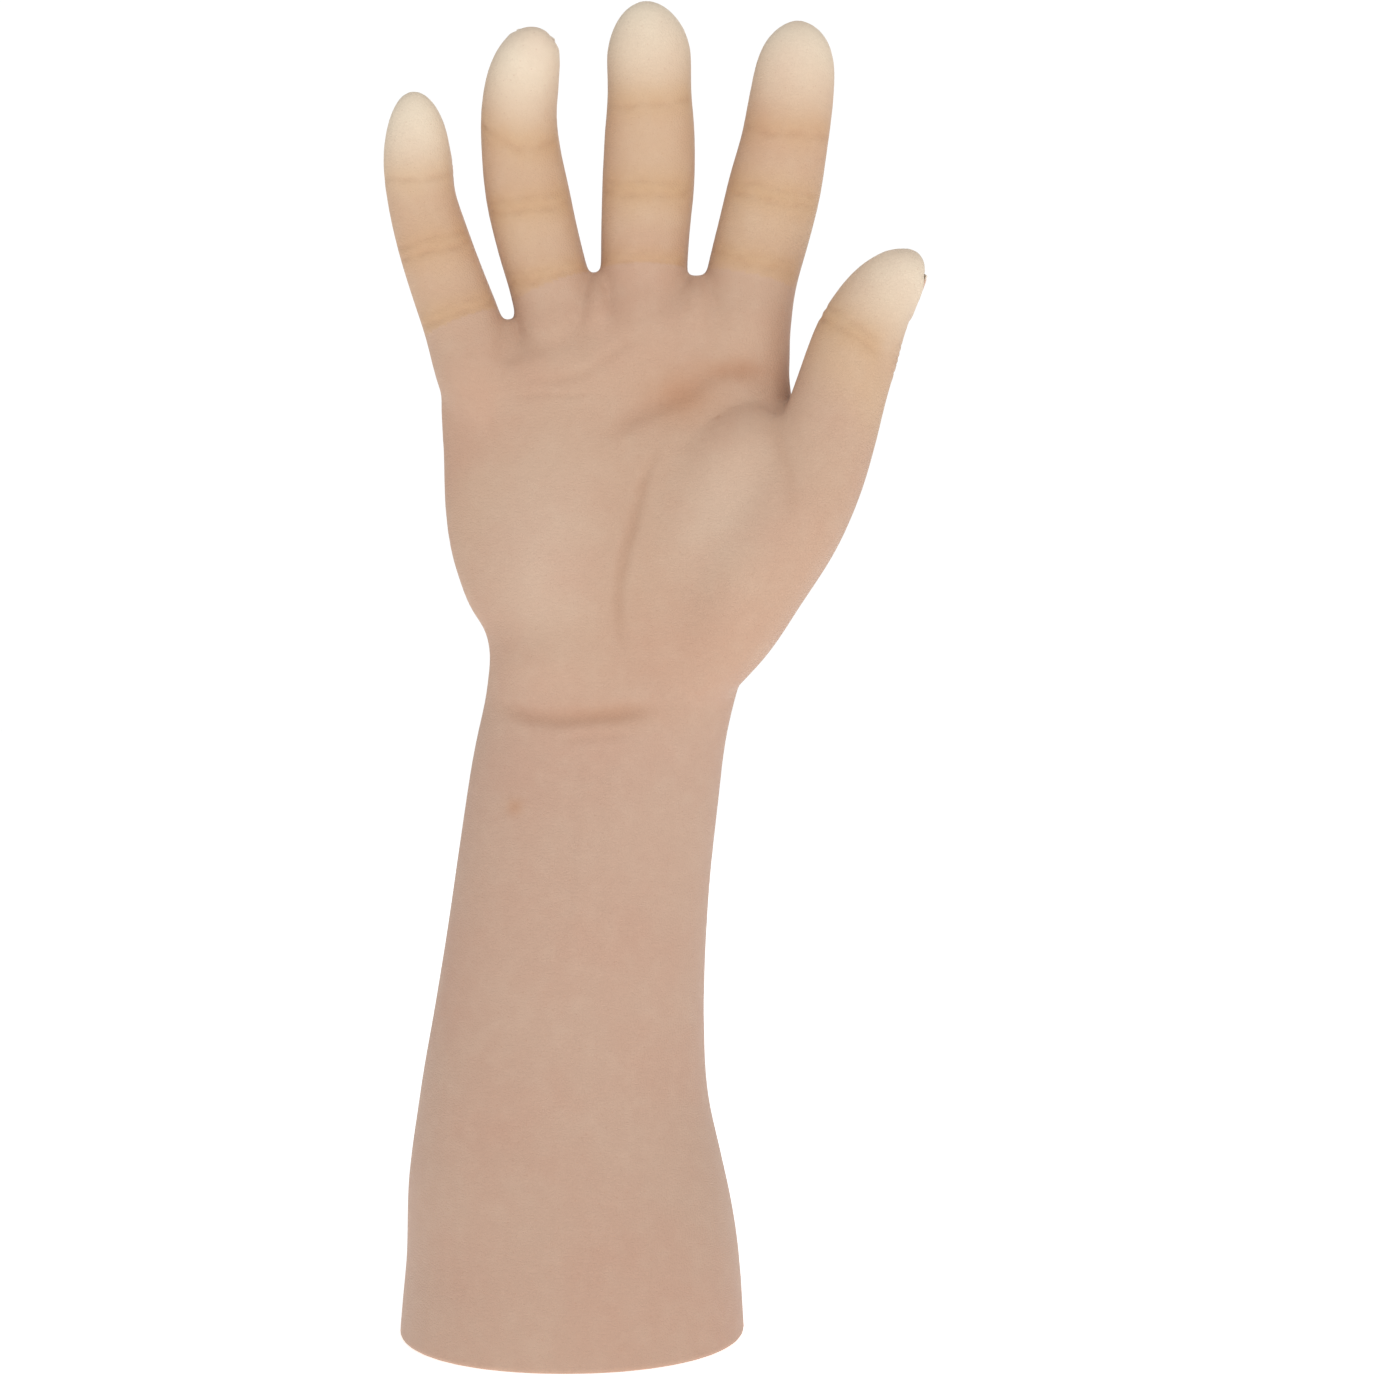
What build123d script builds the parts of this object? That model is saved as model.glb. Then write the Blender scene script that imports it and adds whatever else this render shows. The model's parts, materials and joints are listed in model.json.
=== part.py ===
"""Passive prosthetic hand and forearm: a silicone skin over a posable, pin-jointed frame.

Row frame, in millimetres: +Z runs from the open forearm end to the fingertips, the palm faces -Y and the
thumb is on the +X side. The origin is the centre of the forearm's open mouth, in the plane of its rim.
"""

from build123d import *
import math
import os

# ---- forearm and wrist: (height, centre in X, half width in X, half depth in Y) of the outer skin ----
FOREARM_SECTIONS = [
    (0, 0.2, 45.7, 41.0),
    (34, -0.8, 42.8, 36.0),
    (62, -1.9, 38.5, 31.2),
    (87, -0.3, 35.7, 27.9),
    (113, 2.3, 34.1, 25.3),
    (134, 4.6, 33.4, 23.6),
]
WRIST_SECTIONS = [(134, 4.6, 33.4, 23.6), (147, 6.4, 33.2, 22.6), (164, 9.0, 32.5, 21.6)]
PALM_SECTIONS = [
    (156, 7.5, 32.0, 21.4),
    (173, 12.0, 33.5, 21.4),
    (192, 14.5, 41.8, 20.0),
    (212, 13.0, 46.2, 18.5),
    (240, 12.0, 46.6, 16.5),
    (262, 10.5, 48.0, 15.0),
    (284, 12.0, 48.0, 13.8),
]
SPLIT_HEIGHT = 134.0  # the skin turns against itself here when the wrist is rotated
SPLIT_GAP = 1.0
SKIN_WALL = 3.0
SHELL_WALL = 2.5
SHELL_TOP = 130.0
SOCKET_DEPTH = 88.0
END_PLATE = 3.0
LOCK_BORE_RADIUS = 5.0  # takes the locking pin of a roll-on liner
LOCK_RADIUS = 18.0
LOCK_LENGTH = 12.0
LOCK_MOUTH_RADIUS = 8.0
LOCK_SCREW_RADIUS = 2.0
LOCK_SCREW_CIRCLE = 13.0

# ---- wrist unit ----
ROTOR_X = 6.0  # the rotation axis, parallel to Z
SHAFT_RADIUS = 6.0
SHAFT_CLEARANCE = 0.05
HOUSING_BOTTOM = 114.0
HOUSING_TOP = 128.0
HOUSING_SCREW_RADIUS = 1.5
HOUSING_SCREW_LENGTH = 9.0
HOUSING_SCREW_REACH = (30.0, 21.0)
HOUSING_CENTRE = 3.2
RING_THICKNESS = 2.0
RING_RADIUS = 15.0
NUT_RADIUS = 10.0
NUT_THICKNESS = 6.0
RING_CLEARANCE = 0.2
NUT_PLAY = 0.5
ROTOR_FLANGE = 8.0
WRIST_AXIS = (6.0, 0.0, 160.0)  # flexion axis, parallel to X
WRIST_TONGUE = 10.0
WRIST_DISC = 8.0
WRIST_ARM = 4.5
WRIST_SIDE_PLAY = 0.2
WRIST_PIN_RADIUS = 3.0
WRIST_ROOM = (14.0, 26.0)  # radius and width of the space in the palm that the wrist fork turns in
TONGUE_ROOM = (14.0, 15.0, 30.0)
WRIST_FLEXION = (-30.0, 40.0)

# ---- finger frame: eye and fork links on plain pins ----
EYE_RADIUS = 4.5
EYE_WIDTH = 4.0
FORK_GAP = 4.4
FORK_ARM = 2.0
LINK_DEPTH = 7.0
FORK_WIDTH = FORK_GAP + 2 * FORK_ARM
PIN_RADIUS = 1.5
PIN_CLEARANCE = 0.05
PIN_LENGTH = 9.0
BLOCK_TOP = 5.2  # a fork's solid part starts this far below its pin
NECK_LENGTH = 9.6  # a link is in its pin's own plane for this length
ROOM_RADIUS = 5.3  # room left in the skin round each pin
ROOM_WIDTH = 10.0
CHANNEL_WIDTH = 11.4
CHANNEL_DEPTH = 9.0
TIP_CHANNEL_WIDTH = 7.0
TIP_BAR = 0.55  # share of the last segment that its bar reaches
FOLD_MARGIN = 2.0  # degrees left between two skins at a joint's limit
FOLD_GAP = 0.35

# Each finger: its three pins, its tip, the lean of its pins in the palm's plane, and the skin's radius at
# each pin and at the tip. Flexion is counted from the straight finger, in degrees, for each of its pins.
FINGERS = {
    "index": {
        "pins": [(47.5, 1.0, 279.0), (53.6, -1.5, 301.5), (57.0, -5.2, 318.5)],
        "tip": (59.2, -11.5, 345.0),
        "lean": 12.0,
        "radii": (12.0, 11.6, 10.6, 9.2),
    },
    "middle": {
        "pins": [(19.2, 1.5, 279.3), (20.2, -1.5, 303.2), (20.9, -6.5, 326.0)],
        "tip": (19.6, -12.5, 350.0),
        "lean": 1.0,
        "radii": (11.4, 11.7, 10.8, 9.6),
    },
    "ring": {
        "pins": [(-5.2, 1.0, 275.7), (-10.4, -2.0, 299.4), (-13.2, -7.0, 320.5)],
        "tip": (-9.4, -24.0, 339.7),
        "lean": -7.0,
        "radii": (11.0, 10.8, 9.8, 8.8),
    },
    "little": {
        "pins": [(-27.8, -1.0, 266.0), (-35.2, -3.5, 288.0), (-39.8, -7.0, 306.5)],
        "tip": (-41.6, -12.3, 326.5),
        "lean": -14.0,
        "radii": (10.6, 9.4, 8.6, 6.8),
    },
}
FLEXION = [(-6.0, 45.0), (-2.0, 58.0), (-2.0, 55.0)]

THUMB = {
    "pins": [(66.8, -9.0, 231.0), (75.6, -11.4, 262.5)],
    "tip": (88.5, -14.2, 285.0),
    "pad_faces": (-0.75, -0.66, 0.0),
    "radii": (12.4, 11.2, 8.6),
}
THUMB_FLEXION = [(-4.0, 32.0), (-14.0, 20.0)]
SWEEP_STEPS = 6
SWEEP_ROOM = 1.0
THENAR = ((38.0, -5.0, 186.0), 15.5, (66.8, -9.0, 231.0), 13.5)

# ---- palm frame and its foam block ----
PLATE_OUTLINE = [(-14, 190), (-26, 240), (46, 250), (40, 206), (28, 190)]
PLATE_BACK = 3.5
PLATE_FRONT = -0.5
PLATE_LAP = 6.0
FINGER_ARM = 36.0
THUMB_ARM_FOOT = (38.0, 1.0, 206.0)
FOAM_OUTLINE = [(-10, 186), (-26, 206), (-27, 250), (48, 254), (49, 212), (30, 186)]
FOAM_HALF_DEPTH = 8.5

# The line between the palm and the fingers, through the three webs, from the thumb side.
FINGER_ROOTS = [(64, 273), (33.4, 281), (6.8, 281), (-17, 270.3), (-42, 260.5)]

# ---- nails ----
NAIL_THICKNESS = 0.8
NAIL_LENGTH = 12.0
NAIL_SETBACK = 2.5
NAIL_HALF_ANGLE = 44.0

FAR = 60.0  # longer than any cut in the hand needs


def unit(v):
    return Vector(*v).normalized()


def hinge_plane(point, axis, along):
    """A frame at a pin: X along the pin, Z towards the part that it carries, -Y on the palm side."""
    x = unit(axis)
    z = Vector(*along)
    z = (z - x * z.dot(x)).normalized()
    return Plane(origin=point, x_dir=x, z_dir=z)


def bent(axis, before, after):
    """The angle from one segment to the next about a pin, in degrees, positive in flexion."""
    x = unit(axis)
    u = Vector(*before)
    v = Vector(*after)
    u = (u - x * u.dot(x)).normalized()
    v = (v - x * v.dot(x)).normalized()
    return math.degrees(math.atan2(x.dot(u.cross(v)), u.dot(v)))


def upright(width, depth, length):
    """A box that stands on the XY plane."""
    return Box(width, depth, length, align=(Align.CENTER, Align.CENTER, Align.MIN))


def bar(p, q, axis, width, depth):
    """A straight bar from p to q, its width along the pin axis."""
    along = Vector(*q) - Vector(*p)
    x = unit(axis)
    z = along.normalized()
    x = (x - z * x.dot(z)).normalized()
    return Plane(origin=p, x_dir=x, z_dir=z) * upright(width, depth, along.length)


def disc(plane, radius, width):
    """A round boss about a pin."""
    return plane * Cylinder(radius, width, rotation=(0, 90, 0))


def post(radius, height):
    """A cylinder that stands on the XY plane."""
    return Cylinder(radius, height, align=(Align.CENTER, Align.CENTER, Align.MIN))


def frustum(low_radius, high_radius, height):
    """A cone that stands on the XY plane."""
    return Cone(low_radius, high_radius, height, align=(Align.CENTER, Align.CENTER, Align.MIN))


def fork(plane):
    """The fork at a link's far end, opening towards +Z of the pin's frame, with its pin holes."""
    foot = plane * Pos(0, 0, -NECK_LENGTH)
    block = foot * upright(FORK_WIDTH, LINK_DEPTH, NECK_LENGTH - BLOCK_TOP)
    side = FORK_GAP / 2 + FORK_ARM / 2
    for x in (-side, side):
        block += foot * Pos(x, 0, 0) * upright(FORK_ARM, LINK_DEPTH, NECK_LENGTH)
        block += plane * Pos(x, 0, 0) * Cylinder(EYE_RADIUS, FORK_ARM, rotation=(0, 90, 0))
    return block - disc(plane, PIN_RADIUS, 2 * FORK_WIDTH)


def eye(plane):
    """The eye at a link's near end and its neck, which turn in the fork before it."""
    body = disc(plane, EYE_RADIUS, EYE_WIDTH) + plane * upright(EYE_WIDTH, LINK_DEPTH - 1, NECK_LENGTH)
    return body - disc(plane, PIN_RADIUS + PIN_CLEARANCE, 2 * EYE_WIDTH)


def link(near, far, axis):
    """A finger link: an eye on its near pin, a shank, and a fork for its far pin."""
    along = Vector(*far) - Vector(*near)
    here = hinge_plane(near, axis, along)
    there = hinge_plane(far, axis, along)
    low = Vector(*near) + here.z_dir * (NECK_LENGTH - 1)
    high = Vector(*far) - there.z_dir * (NECK_LENGTH - 1)
    return eye(here) + bar(tuple(low), tuple(high), axis, FORK_WIDTH - 2, LINK_DEPTH) + fork(there)


def tip_bar_ends(near, tip, axis):
    """Where the flat bar in a fingertip starts, at the top of its neck, and where it ends."""
    along = Vector(*tip) - Vector(*near)
    low = Vector(*near) + hinge_plane(near, axis, along).z_dir * (NECK_LENGTH - 1)
    return low, Vector(*near) + along * TIP_BAR


def end_link(near, tip, axis):
    """The last link of a finger: an eye and a flat bar that ends round in the fingertip."""
    along = Vector(*tip) - Vector(*near)
    low, end = tip_bar_ends(near, tip, axis)
    body = eye(hinge_plane(near, axis, along)) + bar(tuple(low), tuple(end), axis, EYE_WIDTH, LINK_DEPTH - 1)
    return body + disc(hinge_plane(tuple(end), axis, along), (LINK_DEPTH - 1) / 2, EYE_WIDTH)


def pin(plane):
    return plane * Cylinder(PIN_RADIUS, PIN_LENGTH, rotation=(0, 90, 0))


def fold_cut(plane, palmar, dorsal, width, side):
    """The wedge that a skin gives up at a pin. side is 1 for the skin beyond the pin, -1 before it."""
    front = FAR * math.tan(math.radians(palmar / 2 + FOLD_MARGIN))
    back = FAR * math.tan(math.radians(dorsal / 2 + FOLD_MARGIN))
    outline = [
        (0, side * FOLD_GAP),
        (-FAR, side * (FOLD_GAP + front)),
        (-FAR, -side * FAR),
        (FAR, -side * FAR),
        (FAR, side * (FOLD_GAP + back)),
    ]
    sketch = make_face(Polyline(*[(0, y, z) for y, z in outline], close=True))
    return plane * extrude(sketch, amount=width / 2, dir=(1, 0, 0), both=True)


def room(plane):
    """The space round a pin that the fork and eye turn in."""
    return disc(plane, ROOM_RADIUS, ROOM_WIDTH)


def sleeve(near, far, radius_near, radius_far):
    """The silicone round one segment, before its folds are cut: a tapered round bar."""
    along = Vector(*far) - Vector(*near)
    return Plane(origin=near, z_dir=along.normalized()) * frustum(radius_near, radius_far, along.length)


def segment_skin(near, far, axis, radii, near_flex, far_flex):
    """The silicone round a segment between two pins. Each flex is (most flexed, most extended) in degrees."""
    along = Vector(*far) - Vector(*near)
    here = hinge_plane(near, axis, along)
    there = hinge_plane(far, axis, along)
    body = sleeve(near, far, *radii)
    body -= fold_cut(here, *near_flex, 2 * FAR, 1)
    body -= fold_cut(there, *far_flex, 2 * FAR, -1)
    body -= bar(near, far, axis, CHANNEL_WIDTH, CHANNEL_DEPTH)
    return body - room(here) - room(there)


def tip_skin(near, tip, axis, radii, near_flex):
    """The silicone round the last segment, closed by a round tip."""
    along = Vector(*tip) - Vector(*near)
    here = hinge_plane(near, axis, along)
    centre = Vector(*tip) - along.normalized() * radii[1]
    body = sleeve(near, tuple(centre), *radii) + Pos(*centre) * Sphere(radii[1])
    body -= fold_cut(here, *near_flex, 2 * FAR, 1)
    low, end = tip_bar_ends(near, tip, axis)
    end += (end - low).normalized() * (LINK_DEPTH / 2 + 1)
    body -= here * upright(TIP_CHANNEL_WIDTH, CHANNEL_DEPTH, NECK_LENGTH)
    body -= bar(tuple(low), tuple(end), axis, TIP_CHANNEL_WIDTH, CHANNEL_DEPTH)
    return body - room(here)


def nail(near, tip, axis, radius):
    """A curved acrylic plate on the back of a fingertip."""
    along = Vector(*tip) - Vector(*near)
    middle = Vector(*near) + along.normalized() * (along.length - NAIL_SETBACK - NAIL_LENGTH / 2)
    plane = hinge_plane(tuple(middle), axis, along)
    half_wall = NAIL_THICKNESS / 2
    plate = Cylinder(radius + half_wall, NAIL_LENGTH) - Cylinder(radius - half_wall, NAIL_LENGTH)
    half = FAR / 2 * math.tan(math.radians(NAIL_HALF_ANGLE))
    wedge = make_face(Polyline((0, 0), (half, FAR / 2), (-half, FAR / 2), close=True))
    return plane * (plate & extrude(wedge, amount=NAIL_LENGTH, both=True))


def lofted(sections, inset=0.0, low=None, high=None):
    """A tube body through elliptical sections, drawn in by inset and cut to a range of heights."""
    body = loft([Pos(x, 0, z) * Ellipse(a - inset, b - inset) for z, x, a, b in sections])
    if low is not None:
        body = split(body, Plane.XY.offset(low), keep=Keep.TOP)
    if high is not None:
        body = split(body, Plane.XY.offset(high), keep=Keep.BOTTOM)
    return body


def plate(outline, back, front):
    """A flat plate in the palm's plane, from depth front to depth back."""
    face = make_face(Polyline(*[(x, front, z) for x, z in outline], close=True))
    return extrude(face, amount=back - front, dir=(0, 1, 0))


def finger_axis(name):
    """The direction of a finger's pins, towards the thumb side."""
    lean = math.radians(FINGERS[name]["lean"])
    return (math.cos(lean), 0.0, -math.sin(lean))


def thumb_axis():
    """The direction of the thumb's pins: turning about it bends the thumb towards its pad."""
    p, q = (Vector(*v) for v in THUMB["pins"])
    return tuple((q - p).cross(Vector(*THUMB["pad_faces"])).normalized())


def chain(name):
    """A finger's pins and tip, pin axis, skin radii, flexion limits and direction before its first pin."""
    if name == "thumb":
        points = [*THUMB["pins"], THUMB["tip"]]
        first = Vector(*points[0]) - Vector(*THENAR[0])
        return points, thumb_axis(), THUMB["radii"], THUMB_FLEXION, first
    finger = FINGERS[name]
    lean = math.radians(finger["lean"])
    return (
        [*finger["pins"], finger["tip"]],
        finger_axis(name),
        finger["radii"],
        FLEXION,
        Vector(math.sin(lean), 0, math.cos(lean)),
    )


def rest_flexion(name):
    """How far each pin of a finger is bent at rest, in degrees."""
    points, axis, _, _, first = chain(name)
    steps = [first] + [Vector(*q) - Vector(*p) for p, q in zip(points, points[1:])]
    return [bent(axis, u, v) for u, v in zip(steps, steps[1:])]


def fold_angles(name):
    """For each pin, how far its skins must give way to flexion and to extension, counted from straight."""
    return [(high, max(0.0, -low)) for low, high in chain(name)[3]]


def finger_parts(name, segments):
    """Every solid of one finger: links, pins, skins and nail, keyed by node name."""
    points, axis, radii, _, _ = chain(name)
    folds = fold_angles(name)
    made = {}
    for k, segment in enumerate(segments):
        near = points[k]
        far = points[k + 1]
        if k < len(segments) - 1:
            made[f"{name}_{segment}_link"] = link(near, far, axis)
            there = hinge_plane(far, axis, Vector(*far) - Vector(*near))
            made[f"{name}_{segments[k + 1]}_pin"] = pin(there)
            skin = segment_skin(near, far, axis, radii[k : k + 2], folds[k], folds[k + 1])
        else:
            made[f"{name}_{segment}_link"] = end_link(near, far, axis)
            plate_on_tip = nail(near, far, axis, radii[k + 1] + 0.3)
            made[f"{name}_nail"] = plate_on_tip
            skin = tip_skin(near, far, axis, radii[k : k + 2], folds[k]) - plate_on_tip
        made[f"{name}_{segment}_skin"] = skin
    return made


def root_plane(name):
    """The frame at a finger's first pin, seen from the palm."""
    points, axis, _, _, first = chain(name)
    return hinge_plane(points[0], axis, first)


def palm_frame():
    """The plate that carries the five first forks and the wrist's tongue."""
    body = plate(PLATE_OUTLINE, PLATE_BACK, PLATE_FRONT)
    for name in FINGERS:
        root = root_plane(name)
        body += root * Pos(0, 0, -FINGER_ARM) * upright(FORK_WIDTH, LINK_DEPTH, FINGER_ARM - NECK_LENGTH)
        body += fork(root)
    root = root_plane("thumb")
    stop = Vector(*THUMB["pins"][0]) - root.z_dir * (NECK_LENGTH - 1)
    body += bar(THUMB_ARM_FOOT, tuple(stop), thumb_axis(), FORK_WIDTH, LINK_DEPTH) + fork(root)
    x, y, z = WRIST_AXIS
    rise = PLATE_OUTLINE[0][1] + PLATE_LAP - z
    body += Pos(x, y, z) * upright(WRIST_TONGUE, WRIST_DISC * 1.4, rise)
    body += Pos(x, y, z) * Cylinder(WRIST_DISC, WRIST_TONGUE, rotation=(0, 90, 0))
    return body - Pos(x, y, z) * Cylinder(WRIST_PIN_RADIUS + PIN_CLEARANCE, FAR, rotation=(0, 90, 0))


def palm_outer():
    """The palm's outer shape with the thumb's muscle pad, up to the roots of the fingers."""
    sections = [Pos(x, 0, z) * RectangleRounded(2 * a, 2 * b, b - 0.4) for z, x, a, b in PALM_SECTIONS]
    low, low_radius, high, high_radius = THENAR
    pad = sleeve(low, high, low_radius, high_radius) + Pos(*low) * Sphere(low_radius)
    return loft(sections) + pad


def thumb_way():
    """The space that the thumb sweeps beside the palm, and the room for its first fork."""
    near, far = THUMB["pins"]
    low, high = THUMB_FLEXION[0]
    rest = rest_flexion("thumb")[0]
    root = root_plane("thumb")
    swept = sleeve(near, far, THUMB["radii"][0] + SWEEP_ROOM, THUMB["radii"][1] + SWEEP_ROOM)
    swept -= fold_cut(hinge_plane(near, thumb_axis(), Vector(*far) - Vector(*near)), 0, 0, 2 * FAR, 1)
    space = room(root) + fold_cut(root, *fold_angles("thumb")[0], 2 * THUMB["radii"][0] + 2, -1)
    space &= Pos(*near) * Sphere(THUMB["radii"][0] + 5)
    space += root * Pos(0, 0, -NECK_LENGTH - 3) * upright(CHANNEL_WIDTH, CHANNEL_DEPTH, NECK_LENGTH + 3)
    for k in range(SWEEP_STEPS + 1):
        turn = low - rest + (high - low) * k / SWEEP_STEPS
        space += swept.rotate(Axis(near, thumb_axis()), turn)
    return space


def palm_skin(frame_block):
    """The silicone of the palm: the outer shape less the foam block, the joints' folds and their rooms."""
    body = palm_outer() - frame_block
    wrist = Plane(origin=WRIST_AXIS, x_dir=(1, 0, 0), z_dir=(0, 0, 1))
    body -= fold_cut(wrist, WRIST_FLEXION[1], -WRIST_FLEXION[0], 4 * FAR, 1)
    body -= Pos(*WRIST_AXIS) * Cylinder(*WRIST_ROOM, rotation=(0, 90, 0))
    body -= Pos(*WRIST_AXIS) * upright(*TONGUE_ROOM)
    body -= plate([*FINGER_ROOTS, (-42, 300), (64, 300)], FAR, -FAR)
    for name in FINGERS:
        root = root_plane(name)
        body -= fold_cut(root, *fold_angles(name)[0], 2 * chain(name)[2][0] + 2, -1)
        body -= root * Pos(0, 0, -FINGER_ARM) * upright(CHANNEL_WIDTH, CHANNEL_DEPTH, FINGER_ARM)
        body -= room(root)
    return body - thumb_way()


def forearm_parts():
    """The open forearm: silicone sleeve, laminated shell, socket end with its lock, and wrist housing."""
    skin = lofted(FOREARM_SECTIONS, high=SPLIT_HEIGHT - SPLIT_GAP / 2)
    skin -= lofted(FOREARM_SECTIONS, SKIN_WALL)
    shell = lofted(FOREARM_SECTIONS, SKIN_WALL, high=SHELL_TOP)
    hollow = lofted(FOREARM_SECTIONS, SKIN_WALL + SHELL_WALL)
    shell -= hollow
    end_plate = split(hollow, Plane.XY.offset(SOCKET_DEPTH), keep=Keep.TOP)
    end_plate = split(end_plate, Plane.XY.offset(SOCKET_DEPTH + END_PLATE), keep=Keep.BOTTOM)
    housing = split(hollow, Plane.XY.offset(HOUSING_BOTTOM), keep=Keep.TOP)
    housing = split(housing, Plane.XY.offset(HOUSING_TOP), keep=Keep.BOTTOM)
    housing -= Pos(ROTOR_X, 0, SHELL_TOP / 2) * Cylinder(SHAFT_RADIUS + SHAFT_CLEARANCE, 2 * SHELL_TOP)
    height = (HOUSING_BOTTOM + HOUSING_TOP) / 2
    inward_screw = Rot(0, -90, 0) * post(HOUSING_SCREW_RADIUS, HOUSING_SCREW_LENGTH)
    screws = []
    for turn in range(4):
        reach = HOUSING_SCREW_REACH[turn % 2]
        screws.append(Pos(HOUSING_CENTRE, 0, height) * Rot(0, 0, 90 * turn) * Pos(reach, 0, 0) * inward_screw)
    for screw in screws:
        housing -= screw
        shell -= screw
    lock = Pos(0, 0, SOCKET_DEPTH + END_PLATE) * post(LOCK_RADIUS, LOCK_LENGTH)
    lock -= Cylinder(LOCK_BORE_RADIUS, 4 * SOCKET_DEPTH)
    end_plate -= Cylinder(LOCK_MOUTH_RADIUS, 4 * SOCKET_DEPTH)
    lock_screw = post(LOCK_SCREW_RADIUS, END_PLATE + LOCK_LENGTH / 2)
    lock_screw += frustum(2 * LOCK_SCREW_RADIUS, LOCK_SCREW_RADIUS, LOCK_SCREW_RADIUS)
    lock_screws = [
        Rot(0, 0, 120 * turn) * Pos(LOCK_SCREW_CIRCLE, 0, SOCKET_DEPTH) * lock_screw for turn in range(3)
    ]
    for screw in lock_screws:
        lock -= screw
        end_plate -= screw
    ring = post(RING_RADIUS, RING_THICKNESS) - Cylinder(SHAFT_RADIUS + RING_CLEARANCE, 4 * RING_THICKNESS)
    return {
        "forearm_skin": skin,
        "socket_shell": shell,
        "socket_end_plate": end_plate,
        "pin_lock": lock,
        "lock_screws": Compound(children=lock_screws),
        "wrist_housing": housing,
        "housing_screws": Compound(children=screws),
        "wrist_friction_ring": Pos(ROTOR_X, 0, HOUSING_TOP) * ring,
    }


def wrist_parts():
    """The turning wrist: rotor with its fork, nut, flexion pin and the silicone band round them."""
    x, y, z = WRIST_AXIS
    flange_low = HOUSING_TOP + RING_THICKNESS
    nut_low = HOUSING_BOTTOM - NUT_PLAY - NUT_THICKNESS
    rotor = Pos(ROTOR_X, 0, nut_low) * post(SHAFT_RADIUS, flange_low - nut_low)
    rotor += Pos(ROTOR_X, 0, flange_low) * post(RING_RADIUS, ROTOR_FLANGE)
    side = WRIST_TONGUE / 2 + WRIST_SIDE_PLAY + WRIST_ARM / 2
    foot = flange_low + ROTOR_FLANGE / 2
    for offset in (-side, side):
        rotor += Pos(x + offset, y, foot) * upright(WRIST_ARM, 2 * WRIST_DISC, z - foot)
        rotor += Pos(x + offset, y, z) * Cylinder(WRIST_DISC, WRIST_ARM, rotation=(0, 90, 0))
    rotor -= Pos(x, y, z) * Cylinder(WRIST_PIN_RADIUS, FAR, rotation=(0, 90, 0))
    nut = RegularPolygon(NUT_RADIUS, 6)
    nut = Pos(ROTOR_X, 0, nut_low) * extrude(nut, amount=NUT_THICKNESS)
    nut -= Pos(ROTOR_X, 0, nut_low) * Cylinder(SHAFT_RADIUS, 4 * NUT_THICKNESS)
    wrist = Plane(origin=WRIST_AXIS, x_dir=(1, 0, 0), z_dir=(0, 0, 1))
    band = lofted(WRIST_SECTIONS, low=SPLIT_HEIGHT + SPLIT_GAP / 2)
    band -= fold_cut(wrist, WRIST_FLEXION[1], -WRIST_FLEXION[0], 4 * FAR, -1)
    band -= Pos(ROTOR_X, 0, SPLIT_HEIGHT) * Cylinder(RING_RADIUS + RING_CLEARANCE, 2 * FAR)
    return {
        "wrist_rotor": rotor,
        "rotor_nut": nut,
        "wrist_pin": Pos(x, y, z) * Cylinder(WRIST_PIN_RADIUS, 2 * side + WRIST_ARM, rotation=(0, 90, 0)),
        "wrist_skin": band,
    }


def palm_parts():
    """The palm: silicone, foam block, frame plate and the five pins that carry the fingers."""
    frame_block = plate(FOAM_OUTLINE, FOAM_HALF_DEPTH, -FOAM_HALF_DEPTH)
    frame = palm_frame()
    skin = palm_skin(frame_block)
    return {
        "palm_skin": skin - frame,
        "palm_foam": frame_block - frame,
        "palm_frame": frame,
        "knuckle_pins": Compound(children=[pin(root_plane(name)) for name in (*FINGERS, "thumb")]),
    }


def main():
    made = {**forearm_parts(), **wrist_parts(), **palm_parts()}
    for name in FINGERS:
        made.update(finger_parts(name, ["proximal", "middle", "distal"]))
    made.update(finger_parts("thumb", ["proximal", "distal"]))
    os.makedirs("parts", exist_ok=True)
    for name, shape in made.items():
        export_step(shape, f"parts/{name}.step")
    print(len(made), "nodes")


main()
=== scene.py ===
import json
import math

import bmesh
import bpy
import numpy as np
from mathutils import Matrix, Vector
from mathutils.bvhtree import BVHTree

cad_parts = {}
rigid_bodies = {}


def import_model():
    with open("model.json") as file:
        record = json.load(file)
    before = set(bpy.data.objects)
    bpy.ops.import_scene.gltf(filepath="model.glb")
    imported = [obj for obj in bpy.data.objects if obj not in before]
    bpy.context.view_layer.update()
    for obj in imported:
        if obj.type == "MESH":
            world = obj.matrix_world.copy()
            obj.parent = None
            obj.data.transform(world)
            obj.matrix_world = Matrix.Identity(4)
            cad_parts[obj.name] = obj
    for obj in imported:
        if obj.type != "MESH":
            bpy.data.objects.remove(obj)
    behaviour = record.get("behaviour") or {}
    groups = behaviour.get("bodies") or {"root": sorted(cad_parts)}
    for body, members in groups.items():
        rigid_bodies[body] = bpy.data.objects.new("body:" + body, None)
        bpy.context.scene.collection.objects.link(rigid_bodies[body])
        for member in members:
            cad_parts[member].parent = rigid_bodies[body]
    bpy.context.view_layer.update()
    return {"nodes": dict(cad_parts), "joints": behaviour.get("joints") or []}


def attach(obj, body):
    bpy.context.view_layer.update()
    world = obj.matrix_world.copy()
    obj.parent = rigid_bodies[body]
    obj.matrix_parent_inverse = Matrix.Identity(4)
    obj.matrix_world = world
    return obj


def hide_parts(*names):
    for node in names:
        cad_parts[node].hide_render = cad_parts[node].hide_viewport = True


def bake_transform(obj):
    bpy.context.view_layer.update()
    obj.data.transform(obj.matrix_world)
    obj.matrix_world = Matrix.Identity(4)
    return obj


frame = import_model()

MM = 0.001

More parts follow.
